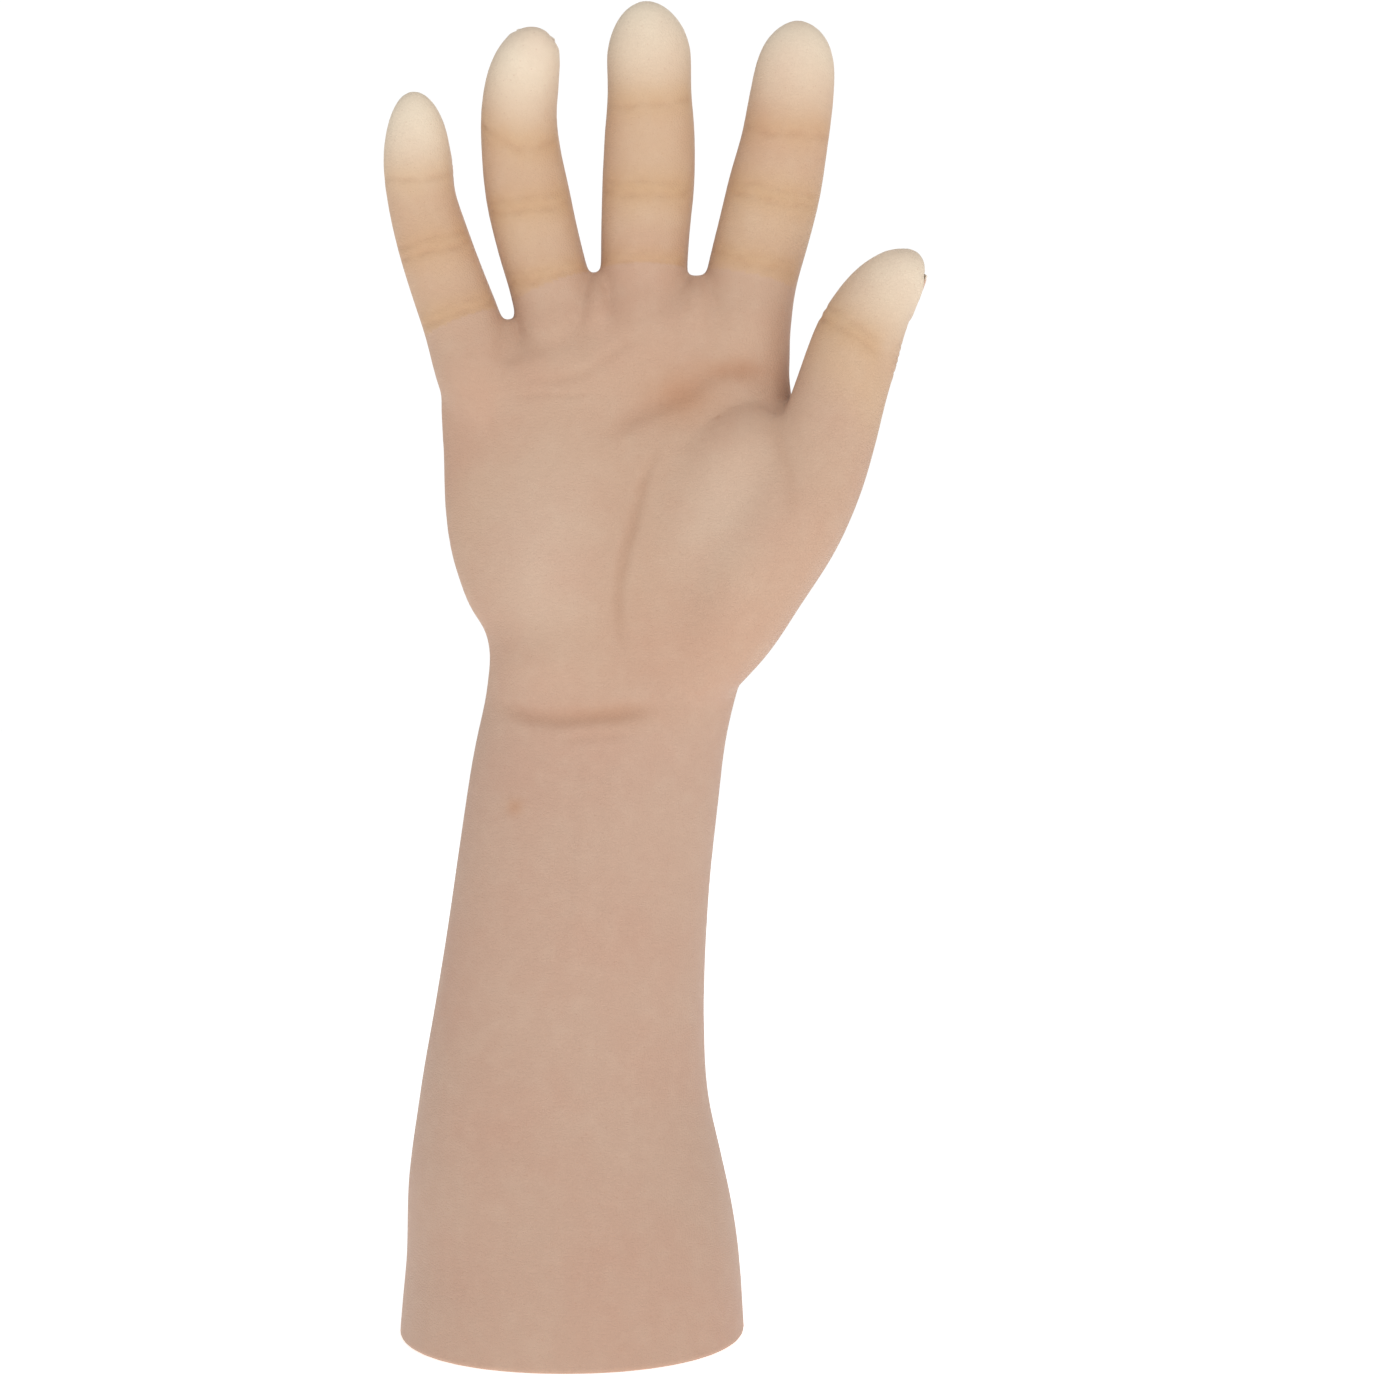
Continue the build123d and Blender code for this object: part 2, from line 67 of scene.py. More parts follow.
# ---------------------------------------------------------------------------------------------------
# Camera, lamps and floor: a level camera at half the hand's height, in a plain, bright tent of light.
# ---------------------------------------------------------------------------------------------------
camera = bpy.data.objects.new("camera", bpy.data.cameras.new("camera"))
bpy.context.scene.collection.objects.link(camera)
camera.data.sensor_width = 36.0
camera.data.lens = 59.5
camera.location = (0.0313, -0.6068, 0.1703)
camera.rotation_euler = (math.radians(90), 0, 0)
bpy.context.scene.camera = camera


def softbox(name, place, aim, size, power, tint):
    """A large square lamp at place, turned to aim."""
    lamp = bpy.data.lights.new(name, "AREA")
    lamp.shape = "SQUARE"
    lamp.size = size
    lamp.energy = power
    lamp.color = tint
    holder = bpy.data.objects.new(name, lamp)
    bpy.context.scene.collection.objects.link(holder)
    holder.location = place
    holder.rotation_euler = (Vector(aim) - Vector(place)).to_track_quat("-Z", "Y").to_euler()


softbox("key_lamp", (0.75, -1.30, 1.05), (0.0, 0.0, 0.19), 1.0, 9.0, (1.0, 0.985, 0.97))
softbox("fill_lamp", (-1.35, -0.85, 0.55), (0.0, 0.0, 0.16), 1.2, 3.0, (0.97, 0.985, 1.0))
softbox("back_lamp", (0.3, 1.6, 1.0), (0.0, 0.0, 0.2), 1.2, 4.0, (1.0, 1.0, 1.0))

world = bpy.data.worlds.new("studio_air")
bpy.context.scene.world = world
world.use_nodes = True
world.node_tree.nodes["Background"].inputs["Color"].default_value = (1.0, 1.0, 1.0, 1.0)
paths = world.node_tree.nodes.new("ShaderNodeLightPath")
air = world.node_tree.nodes.new("ShaderNodeMapRange")
air.inputs["To Min"].default_value = 0.45
air.inputs["To Max"].default_value = 1.02
world.node_tree.links.new(paths.outputs["Is Camera Ray"], air.inputs["Value"])
world.node_tree.links.new(air.outputs["Result"], world.node_tree.nodes["Background"].inputs["Strength"])
bpy.context.scene.view_settings.view_transform = "Standard"

bm = bmesh.new()
bmesh.ops.create_circle(bm, cap_ends=True, segments=96, radius=9.0)
floor_mesh = bpy.data.meshes.new("floor")
bm.to_mesh(floor_mesh)
bm.free()
floor = bpy.data.objects.new("floor", floor_mesh)
bpy.context.scene.collection.objects.link(floor)
floor_paint = bpy.data.materials.new("floor_paint")
floor_paint.use_nodes = True
floor_surface = floor_paint.node_tree.nodes["Principled BSDF"]
floor_surface.inputs["Base Color"].default_value = (0.93, 0.93, 0.93, 1.0)
floor_surface.inputs["Roughness"].default_value = 0.9
floor_surface.inputs["Emission Color"].default_value = (1.0, 1.0, 1.0, 1.0)
floor_surface.inputs["Emission Strength"].default_value = 0.62
floor_mesh.materials.append(floor_paint)

# ---------------------------------------------------------------------------------------------------
# Silicone glove, the casting: one hand and forearm poured in one mould. It is built up as tapered limbs,
# ring by ring, which are then fused into one body and smoothed as the wax for the mould was.
# ---------------------------------------------------------------------------------------------------
RING_SIDES = 40
RING_STEP = 3.0


def smooth_line(points, step):
    """Points along a smooth curve through the given rows, about step apart by their first three values."""
    rows = [Vector(p) for p in points]
    rows = [rows[0] * 2 - rows[1], *rows, rows[-1] * 2 - rows[-2]]
    made = []
    for a, b, c, d in zip(rows, rows[1:], rows[2:], rows[3:]):
        count = max(1, round((c - b).length / step))
        for k in range(count):
            t = k / count
            squared, cubed = 2 * a - 5 * b + 4 * c - d, 3 * b - a - 3 * c + d
            made.append(0.5 * (2 * b + (c - a) * t + squared * t**2 + cubed * t**3))
    return made + [rows[-2]]


def limb(bm, stations, squareness=1.0, side=(1, 0, 0)):
    """A closed tube through stations of (x, y, z, half width, half depth) in millimetres."""
    rows = smooth_line(stations, RING_STEP)
    loops = []
    for k, row in enumerate(rows):
        before = Vector(rows[max(0, k - 1)][:3])
        after = Vector(rows[min(len(rows) - 1, k + 1)][:3])
        along = (after - before).normalized()
        across = (Vector(side) - along * along.dot(Vector(side))).normalized()
        turn = Matrix((across, along.cross(across), along)).transposed().to_4x4()
        ring = bmesh.ops.create_circle(bm, cap_ends=False, segments=RING_SIDES, radius=1.0)["verts"]
        for v in ring:
            v.co.x = math.copysign(abs(v.co.x) ** squareness, v.co.x)
            v.co.y = math.copysign(abs(v.co.y) ** squareness, v.co.y)
        place = Matrix.Translation(Vector(row[:3])) @ turn @ Matrix.Diagonal((row[3], row[4], 1, 1))
        bmesh.ops.transform(bm, matrix=Matrix.Scale(MM, 4) @ place, verts=ring)
        loops.append(ring)
    for low, high in zip(loops, loops[1:]):
        wanted = set(low) | set(high)
        open_edges = [e for e in bm.edges if e.is_boundary or e.is_wire]
        edges = [e for e in open_edges if e.verts[0] in wanted and e.verts[1] in wanted]
        bmesh.ops.bridge_loops(bm, edges=edges)
    for end in (loops[0], loops[-1]):
        bmesh.ops.contextual_create(bm, geom=end)


FOREARM_AND_PALM = [
    (0.2, 0.0, -8.0, 45.8, 41.4),
    (0.2, 0.0, 0.0, 45.7, 41.0),
    (0.2, 0.0, 20.0, 44.2, 38.4),
    (-1.5, 0.0, 42.0, 41.9, 34.6),
    (-1.9, 0.0, 62.0, 38.5, 31.2),
    (-0.7, 0.0, 82.0, 36.1, 28.4),
    (1.1, 0.0, 102.0, 34.6, 26.4),
    (3.4, 0.0, 124.0, 33.7, 24.4),
    (6.4, 0.0, 147.0, 33.2, 22.6),
    (9.0, -0.4, 162.0, 32.5, 21.8),
    (11.4, -0.8, 174.0, 32.8, 21.6),
    (12.6, -0.6, 187.0, 36.6, 20.8),
    (12.0, 0.0, 201.0, 41.8, 19.6),
    (11.3, 0.6, 216.0, 44.9, 18.2),
    (11.7, 1.0, 234.0, 46.2, 16.8),
    (11.8, 1.0, 246.0, 46.9, 15.7),
    (11.4, 0.9, 254.0, 46.0, 15.0),
    (10.6, 0.8, 261.0, 42.5, 13.6),
    (9.0, 0.6, 267.0, 36.0, 11.0),
    (7.6, 0.6, 271.0, 27.0, 7.5),
]
THENAR_ROOT = [
    (24.0, -5.0, 176.0, 10.0, 11.5),
    (28.0, -6.0, 192.0, 14.0, 12.8),
    (33.0, -6.6, 207.0, 17.0, 13.4),
    (40.0, -7.0, 220.0, 17.0, 13.0),
    (48.0, -7.4, 232.0, 13.0, 11.2),
    (54.0, -7.4, 240.0, 7.0, 8.0),
]
THENAR_AND_THUMB = [
    (30.0, -5.0, 172.0, 11.0, 14.0),
    (40.0, -7.5, 187.0, 14.0, 17.0),
    (48.4, -9.5, 200.0, 14.3, 17.6),
    (56.9, -10.4, 213.0, 14.2, 16.2),
    (63.0, -10.4, 224.5, 13.4, 14.2),
    (67.2, -10.4, 236.0, 12.8, 12.6),
    (71.1, -10.8, 249.0, 12.1, 11.4),
    (75.2, -11.4, 262.0, 11.3, 10.6),
    (80.5, -12.4, 272.0, 9.9, 9.4),
    (85.6, -13.4, 278.2, 7.9, 7.6),
    (88.6, -14.0, 282.0, 5.4, 5.4),
    (90.0, -14.2, 284.6, 1.5, 1.4),
]
INDEX = [
    (43.5, 1.6, 236.0, 9.0, 7.0),
    (45.6, 1.5, 252.0, 12.0, 10.6),
    (45.8, 1.4, 266.0, 12.5, 12.6),
    (47.8, 1.0, 279.5, 12.2, 12.0),
    (51.3, -0.4, 293.0, 12.4, 11.6),
    (54.0, -1.8, 304.0, 12.4, 11.4),
    (56.4, -4.0, 315.0, 11.6, 10.5),
    (58.0, -6.6, 325.0, 11.2, 10.0),
    (59.2, -9.2, 334.5, 10.3, 9.0),
    (59.5, -10.6, 340.5, 7.9, 6.8),
    (59.5, -11.3, 344.0, 4.2, 3.4),
    (59.5, -11.5, 345.4, 0.8, 0.8),
]
MIDDLE = [
    (18.6, 2.0, 252.0, 12.0, 11.0),
    (18.9, 2.0, 266.0, 12.0, 12.8),
    (19.1, 1.5, 280.0, 11.6, 12.0),
    (19.6, -0.2, 293.0, 11.9, 11.6),
    (20.4, -1.6, 305.0, 12.3, 11.5),
    (20.8, -4.2, 317.0, 12.0, 10.8),
    (20.8, -7.0, 327.5, 11.1, 10.1),
    (20.6, -10.0, 338.0, 11.0, 9.6),
    (20.0, -11.7, 344.2, 8.6, 7.6),
    (19.6, -12.4, 348.2, 5.0, 4.6),
    (19.4, -12.7, 350.0, 1.2, 1.2),
]
RING = [
    (0.4, 1.5, 248.0, 11.6, 12.0),
    (-2.0, 1.4, 262.0, 11.6, 12.2),
    (-5.6, 1.0, 277.0, 10.9, 11.4),
    (-9.1, -0.8, 290.0, 11.1, 10.9),
    (-11.6, -2.4, 301.5, 11.2, 10.7),
    (-13.2, -4.8, 312.5, 10.5, 10.0),
    (-13.5, -8.2, 321.5, 10.0, 9.9),
    (-12.0, -13.4, 329.0, 9.5, 9.2),
    (-9.8, -18.8, 334.2, 8.0, 7.6),
    (-8.8, -22.2, 337.2, 5.6, 5.2),
    (-8.5, -24.0, 338.8, 2.6, 2.5),
    (-8.4, -24.5, 339.4, 0.8, 0.8),
]
LITTLE = [
    (-20.0, 0.5, 242.0, 10.6, 11.6),
    (-25.0, -0.4, 254.0, 10.9, 11.4),
    (-28.9, -1.0, 267.0, 10.5, 10.4),
    (-33.2, -2.0, 279.0, 10.1, 9.7),
    (-36.8, -3.4, 290.0, 9.7, 9.3),
    (-39.5, -5.2, 300.5, 9.1, 8.6),
    (-40.2, -7.4, 309.5, 9.1, 8.3),
    (-40.3, -9.8, 317.4, 7.8, 7.2),
    (-40.6, -11.4, 322.6, 5.6, 5.2),
    (-40.9, -12.1, 325.7, 3.0, 2.6),
    (-41.0, -12.3, 326.8, 0.8, 0.8),
]
WEBS = [
    [
        (27.0, 1.0, 254.0, 7.0, 10.6),
        (32.2, 0.8, 266.0, 6.5, 12.6),
        (33.2, 0.5, 275.0, 4.8, 10.4),
        (33.6, 0.4, 280.2, 2.4, 4.6),
    ],
    [
        (6.8, 1.0, 254.0, 7.0, 10.6),
        (6.9, 0.8, 266.0, 6.2, 12.4),
        (6.9, 0.5, 275.0, 3.6, 10.2),
        (6.9, 0.4, 280.8, 1.7, 4.6),
    ],
    [
        (-13.0, 0.8, 240.0, 7.0, 10.4),
        (-14.6, 0.6, 252.0, 5.4, 11.2),
        (-15.6, 0.2, 260.0, 3.4, 8.8),
        (-16.3, 0.0, 268.4, 1.5, 4.2),
    ],
    [
        (46.0, -3.0, 222.0, 6.0, 9.0),
        (58.4, -4.5, 243.6, 3.0, 6.0),
        (59.4, -4.8, 245.4, 1.6, 4.0),
    ],
]
FINGER_STATIONS = {"index": INDEX, "middle": MIDDLE, "ring": RING, "little": LITTLE}

bm = bmesh.new()
limb(bm, FOREARM_AND_PALM, squareness=0.96)
limb(bm, THENAR_AND_THUMB, squareness=0.95, side=(0.85, 0.0, -0.52))
limb(bm, THENAR_ROOT, side=(0.85, 0.0, -0.52))
for stations in [*FINGER_STATIONS.values(), *WEBS]:
    limb(bm, stations, squareness=0.94)
bmesh.ops.recalc_face_normals(bm, faces=bm.faces)
casting_mesh = bpy.data.meshes.new("casting")
bm.to_mesh(casting_mesh)
bm.free()
casting = bpy.data.objects.new("casting", casting_mesh)
bpy.context.scene.collection.objects.link(casting)

fuse = casting.modifiers.new("fuse", "REMESH")
fuse.mode = "VOXEL"
fuse.voxel_size = 0.75 * MM
wax = casting.modifiers.new("wax", "SMOOTH")
wax.factor = 0.5
wax.iterations = 40
bpy.context.view_layer.update()
glove_mesh = bpy.data.meshes.new_from_object(casting.evaluated_get(bpy.context.evaluated_depsgraph_get()))
bpy.data.objects.remove(casting)

# ---------------------------------------------------------------------------------------------------
# Silicone glove, the relief: the swellings, hollows, folds and tendons that the mould carries. Each is
# pressed into the fused body along its own surface, and leaves a mark that the silicone's tint follows:
# painted shade in the folds and hollows, painted highlight on the pads of the palm.
# ---------------------------------------------------------------------------------------------------
count = len(glove_mesh.vertices)
place = np.empty(count * 3, np.float32)
glove_mesh.vertices.foreach_get("co", place)
place = place.reshape(-1, 3) / MM
facing = np.empty(count * 3, np.float32)
glove_mesh.vertices.foreach_get("normal", facing)
facing = facing.reshape(-1, 3)


def ease(value, low, high):
    """0 below low, 1 above high, smooth between."""
    t = np.clip((value - low) / (high - low), 0, 1)
    return t * t * (3 - 2 * t)


# The ball of the thumb is one soft bulge, so the valley between its limbs is worked smooth before the relief.
THENAR_CENTRE, THENAR_RADII, THENAR_TURN = (40.0, 208.0), (21.0, 37.0), math.radians(28)
THENAR_PASSES = 260
from_centre = place[:, (0, 2)] - THENAR_CENTRE
turn_cos, turn_sin = math.cos(THENAR_TURN), math.sin(THENAR_TURN)
across = (from_centre[:, 0] * turn_cos - from_centre[:, 1] * turn_sin) / THENAR_RADII[0]
along = (from_centre[:, 0] * turn_sin + from_centre[:, 1] * turn_cos) / THENAR_RADII[1]
soft = ease(1.15 - np.hypot(across, along), 0.0, 0.35) * ease(-facing[:, 1], 0.0, 0.5)
edges = np.empty(len(glove_mesh.edges) * 2, np.int32)
glove_mesh.edges.foreach_get("vertices", edges)
edges = edges.reshape(-1, 2)
edges = edges[(soft[edges] > 0).any(axis=1)]
worked, edges = np.unique(edges, return_inverse=True)
edges = edges.reshape(-1, 2)
patch = place[worked].astype(float)
share = 0.5 * soft[worked][:, None] / np.bincount(edges.ravel())[:, None]
for _ in range(THENAR_PASSES):
    pull = patch[edges[:, 1]] - patch[edges[:, 0]]
    for k in range(3):
        gained = np.bincount(edges[:, 0], pull[:, k], len(patch))
        lost = np.bincount(edges[:, 1], pull[:, k], len(patch))
        patch[:, k] += share[:, 0] * (gained - lost)
place[worked] = patch
glove_mesh.vertices.foreach_set("co", (place * MM).ravel())
glove_mesh.update()
facing = np.empty(count * 3, np.float32)
glove_mesh.vertices.foreach_get("normal", facing)
facing = facing.reshape(-1, 3)
raised = np.zeros(count)
marks = {name: np.zeros(count) for name in ("hand", "pads", "finger", "warm", "pallor", "blush", "crease")}

palm_side = ease(-facing[:, 1], 0.0, 0.45)
back_side = ease(facing[:, 1], 0.0, 0.45)


def swell(side, x, z, across, along, height, turn=0.0):
    """Raises, or with a negative height sinks, an oval area on one side of the hand."""
    c, s = math.cos(math.radians(turn)), math.sin(math.radians(turn))
    u = ((place[:, 0] - x) * c - (place[:, 2] - z) * s) / across
    v = ((place[:, 0] - x) * s + (place[:, 2] - z) * c) / along
    area = side * np.exp(-(u**2) - v**2)
    raised[:] += height * area
    return area


def ridge(side, path, width, height, ends=0.25):
    """Raises a line along a smooth (x, z) path, fading at its ends. Returns how near each point is."""
    line = np.array([tuple(p)[:2] for p in smooth_line([Vector((x, z, 0)) for x, z in path], 1.5)])
    near = np.zeros(count)
    low = line.min(0) - 4 * width
    high = line.max(0) + 4 * width
    xz = place[:, (0, 2)]
    inside = np.flatnonzero(((xz > low) & (xz < high)).all(1) & (side > 0))
    best = np.full(len(inside), 1e9)
    best_fade = np.zeros(len(inside))
    for k, (p, q) in enumerate(zip(line, line[1:])):
        d = q - p
        t = np.clip(((xz[inside] - p) @ d) / (d @ d), 0, 1)
        gap = np.linalg.norm(xz[inside] - p - t[:, None] * d, axis=1)
        along = (k + t) / (len(line) - 1)
        closer = gap < best
        best[closer] = gap[closer]
        best_fade[closer] = (ease(along, 0, ends) * ease(1 - along, 0, ends))[closer]
    near[inside] = np.exp(-((best / width) ** 2)) * best_fade * side[inside]
    raised[:] += height * near
    return near


def fold(side, path, width, depth, lips=0.3, ends=0.25):
    """A fold in the skin: a narrow groove whose two lips swell a little, with painted shade laid along the
    groove.
    """
    ridge(side, path, 3.2 * width, lips * depth, ends)
    near = ridge(side, path, width, -(1 + lips) * depth, ends)
    marks["crease"][:] = np.maximum(marks["crease"], near * min(0.6, depth))
    return near


# The palm: its hollow, the pads at the thumb, the outer edge and under the fingers, and the heel.
swell(palm_side, 21, 246, 15, 12, -2.6)
swell(palm_side, 16, 226, 7, 18, -1.4, turn=-12)
swell(palm_side, 42, 236, 12, 12, 2.8)
# Painted highlight: the ball of the thumb and the outer heel of the palm are painted paler where their bulges
# catch the light.
marks["pads"] = 0.85 * swell(palm_side, 41, 216, 14, 20, 1.8, turn=28)
marks["pads"] = np.maximum(marks["pads"], swell(palm_side, -7, 205, 15, 26, 3.2))
swell(palm_side, -10, 176, 15, 8, 1.8)
swell(palm_side, 46, 265, 9, 8, 1.2)
swell(palm_side, 19, 268, 9, 7, 1.3)
swell(palm_side, -6, 263, 9, 8, 1.2)
swell(palm_side, -24, 254, 8, 9, 1.0)
HEAD_LINE = [(6, 234.5), (12, 238), (17.2, 241.7), (25.2, 245.1), (32.2, 248.7), (35, 251.1)]
fold(palm_side, [*HEAD_LINE, (41, 253.3), (49, 253), (54.5, 246)], 2.5, 0.55)
fold(palm_side, [(-16, 246), (-8, 247.2), (0, 246.8), (8, 248)], 1.0, 0.16)
fold(palm_side, [(-12, 252.5), (-4, 251), (6, 254), (14, 260), (22, 264)], 1.6, 0.22)
THUMB_LINE = [(24, 238), (22.4, 231.7), (19.3, 223.9), (17, 214.1), (14.9, 206.1), (13.1, 196)]
fold(palm_side, [*THUMB_LINE, (13.3, 186.5), (14.8, 178)], 1.5, 0.55)
fold(palm_side, [(-20, 169), (-13, 164.6), (-4, 162.9), (6.6, 163.5), (16, 164.6), (26, 166)], 2.1, 0.85)
fold(palm_side, [(-4, 157.5), (6, 158), (18, 159)], 1.2, 0.2)
fold(palm_side, [(52, 242), (55.2, 232), (57.3, 222.6), (56, 212)], 2.2, 0.3)
for x in (4.5, 12.0):
    ridge(palm_side, [(x - 2, 96), (x - 0.5, 128), (x, 156)], 2.4, 0.45)

# The back: tendons that fan out to the knuckles, the knuckles, a few veins and the wrist's outer bone.
KNUCKLES = [(44.0, 262.0), (18.9, 265.0), (-3.0, 260.0), (-24.0, 251.5)]
for x, z in KNUCKLES:
    ridge(back_side, [(9.0 + 0.10 * x, 172), (9.0 + 0.45 * (x - 9), 214), (x, z - 4)], 2.4, 1.0)
    swell(back_side, x, z, 7.5, 7.0, 1.9)
for (x0, z0), (x1, z1) in zip(KNUCKLES, KNUCKLES[1:]):
    swell(back_side, (x0 + x1) / 2, (z0 + z1) / 2 + 1, 4.5, 9.0, -1.2)
ridge(back_side, [(-10, 150), (-14, 178), (-12, 205), (-14, 228), (-13, 244)], 1.5, 0.5)
ridge(back_side, [(-12, 205), (0, 220), (6, 236), (7, 250)], 1.3, 0.45)
ridge(back_side, [(26, 152), (30, 176), (27, 200), (31, 222), (31, 246)], 1.5, 0.5)
swell(back_side, -16, 158, 8, 10, 2.6)
fold(back_side, [(-16, 168), (0, 171), (16, 171), (32, 168)], 1.2, 0.3)

# The digits: pins and tip, the plane where each one leaves the palm, and the way its pad and its nail face.
PINS = {joint["name"]: np.array(joint["pos_m"]) / MM for joint in frame["joints"]}
AXES = {joint["name"]: np.array(joint["axis"]) for joint in frame["joints"]}
DIGITS = {
    "index": ((59.5, -11.5, 345.4), (33.4, 0, 282.0), (0.208, 0, 0.978), (0, 1, 0)),
    "middle": ((19.4, -12.7, 350.0), (20.0, 0, 282.0), (0, 0, 1), (0, 1, 0)),
    "ring": ((-8.4, -24.5, 339.4), (6.9, 0, 282.0), (-0.387, 0, 0.922), (0, 1, 0)),
    "little": ((-41.0, -12.3, 326.8), (-17, 0, 272.0), (-0.367, 0, 0.93), (0, 1, 0)),
    "thumb": ((90.0, -14.2, 284.6), (59.7, 0, 246.5), (0.707, 0, 0.707), (0.75, 0.66, 0)),
}
DIGITS = {name: dict(zip(("tip", "root", "leaves", "back"), rows)) for name, rows in DIGITS.items()}


def unit(vector):
    return np.array(vector, float) / np.linalg.norm(vector)


def on_digit(points, name):
    """Which points are on this digit's side of the gaps and beyond the place where it leaves the palm."""
    x, z = points[:, 0], points[:, 2]
    thumb_gap = (x > 59.9 + 0.1 * (z - 246)) & (z < 287)
    index_gap = x > 33.4 + 0.1 * (z - 281)
    ring_gap = x < 7.0
    little_gap = x < -17 - 0.245 * (z - 271)
    sides = {
        "thumb": thumb_gap,
        "index": index_gap & ~thumb_gap,
        "middle": ~index_gap & ~ring_gap,
        "ring": ring_gap & ~little_gap,
        "little": little_gap,
    }
    digit = DIGITS[name]
    return sides[name] & ((points - digit["root"]) @ np.array(digit["leaves"]) > 0)


def joint_fold(mask, side, at, along, axis, width, depth, bow=0.0):
    """A groove across a digit at a point of its line, bowed towards the tip or, below 0, towards the palm,
    with painted shade laid along it.
    """
    gap = place - at
    across = gap @ axis
    sway = 0.30 * np.sin(0.47 * across + at[0]) + 0.16 * np.sin(1.25 * across + at[2])
    offset = gap @ along - bow * (1 - (across / 9) ** 2) - sway
    uneven = 0.72 + 0.28 * np.sin(0.8 * across + 1.7 * at[2])
    area = mask * side * ease(13 - np.abs(across), 0, 4) * uneven
    near = area * np.exp(-((offset / width) ** 2))
    raised[:] += depth * (0.35 * area * np.exp(-((offset / (3 * width)) ** 2)) - 1.35 * near)
    marks["crease"][:] = np.maximum(marks["crease"], near * min(1.0, 1.2 * depth))


NAILS = {
    "index": (11.4, 12.0),
    "middle": (11.8, 12.5),
    "ring": (10.8, 11.5),
    "little": (8.8, 9.5),
    "thumb": (12.0, 12.0),
}
NAIL_SETBACK = 3.4
NAIL_CORNER = 3.5
nail_frames = {}
x, z = place[:, 0], place[:, 2]
marks["hand"][:] = ease(z, 150, 186)
for name, digit in DIGITS.items():
    names = [f"{name}_knuckle", f"{name}_middle_joint", f"{name}_end_joint"]
    pins = [PINS[joint] for joint in names if joint in PINS]
    axis = AXES[names[0]]
    tip = np.array(digit["tip"])
    line = [*pins, tip]
    digit["line"] = line
    mask = on_digit(place, name)
    back = ease(facing @ np.array(digit["back"], float), 0.05, 0.45)
    front = ease(-(facing @ np.array(digit["back"], float)), 0.0, 0.5)
    beyond = (place - digit["root"]) @ np.array(digit["leaves"])
    marks["finger"] = np.maximum(marks["finger"], mask * ease(beyond, 0, 14))
    from_tip = np.linalg.norm(place - tip, axis=1)
    # The fingertips are paler, partly their own paler tone and partly painted glow standing in for light
    # through the thin silicone.
    marks["pallor"] = np.maximum(marks["pallor"], mask * (1 - ease(from_tip, 5, 33)))
    for k, (near_pin, far_pin) in enumerate(zip(line, line[1:])):
        along = unit(far_pin - near_pin)
        if k > 0 or name != "thumb":
            ahead = (place - near_pin) @ along - (4.5 if k == 0 else 0.0)
            marks["warm"] = np.maximum(marks["warm"], 0.8 * mask * front * np.exp(-((ahead / 4.5) ** 2)))
        if k == 0 and name != "thumb":
            base = near_pin + along * 4.5
            joint_fold(mask, front, base, along, axis, 1.0, 0.34, bow=-0.6)
            joint_fold(mask, front, base + along * 2.4, along, axis, 0.7, 0.14, bow=-0.4)
        if k > 0:
            joint_fold(mask, front, near_pin - along * 1.1, along, axis, 0.85, 0.32, bow=-0.5)
            if k == 1:
                joint_fold(mask, front, near_pin + along * 1.7, along, axis, 0.75, 0.22, bow=0.3)
            swelling = mask * back * np.exp(-(((place - near_pin) @ along / 6.5) ** 2))
            raised += 0.5 * swelling
            lines = (-3.4, -1.9, -0.5, 0.9, 2.4, 3.7) if k == 1 else (-1.6, 0.0, 1.5)
            depth = 0.3 if k == 1 else 0.2
            for step, where in enumerate(lines):
                bow = 0.9 * where / 3.5 + (0.25 if step % 2 else -0.25)
                joint_fold(mask, back, near_pin + along * where, along, axis, 0.42, depth, bow=bow)
    # The fold round the nail, and the bed that the nail lies in.
    width, length = NAILS[name]
    along = unit(line[-1] - line[-2])
    up = unit(np.array(digit["back"], float) - along * (along @ np.array(digit["back"], float)))
    across = np.cross(along, up)
    origin = tip - along * (NAIL_SETBACK + length)
    nail_frames[name] = (origin, across, along, up)
    gap = place - origin
    u, v = np.abs(gap @ across), gap @ along
    out = np.hypot(np.maximum(u - width / 2 + NAIL_CORNER, 0), np.maximum(NAIL_CORNER - v, 0)) - NAIL_CORNER
    upper = mask * ease(facing @ up, 0.05, 0.4) * ease(length + 2 - v, 0, 3)
    wall_height = 0.42 * np.exp(-(((out - 0.8) / 0.8) ** 2)) * ease(length - v, -1, 4)
    raised += upper * (wall_height - 0.4 * ease(-out, 0, 0.7))
    # Painted shade in the fold round the nail: this mark only darkens the tint there and does not change the
    # shape.
    groove = 0.35 * upper * np.exp(-((out / 0.4) ** 2)) * ease(length - v, 0, 3)
    marks["crease"] = np.maximum(marks["crease"], groove)

# Small marks that are painted in: the hollow, wrist and index base, redder and darkened with painted shade,
# two pores with painted shade in them and a pale mole.
marks["blush"] = palm_side * (
    0.75 * np.exp(-(((x - 29) / 9) ** 2) - ((z - 247) / 7) ** 2)
    + 0.6 * np.exp(-(((x - 43) / 9) ** 2) - ((z - 254) / 3.2) ** 2)
    + 0.35 * np.exp(-(((x - 9) / 14) ** 2) - ((z - 163.5) / 3.5) ** 2)
    + 0.7 * np.exp(-(((x + 13.7) / 2.4) ** 2) - ((z - 140.1) / 2.2) ** 2)
)
for pore_x, pore_z in ((24.0, 245.5), (38.7, 240.5)):
    pore = palm_side * np.exp(-(((x - pore_x) / 0.6) ** 2) - ((z - pore_z) / 0.6) ** 2)
    raised -= 0.3 * pore
    # Painted shade in each pore.
    marks["crease"] = np.maximum(marks["crease"], 0.9 * pore)

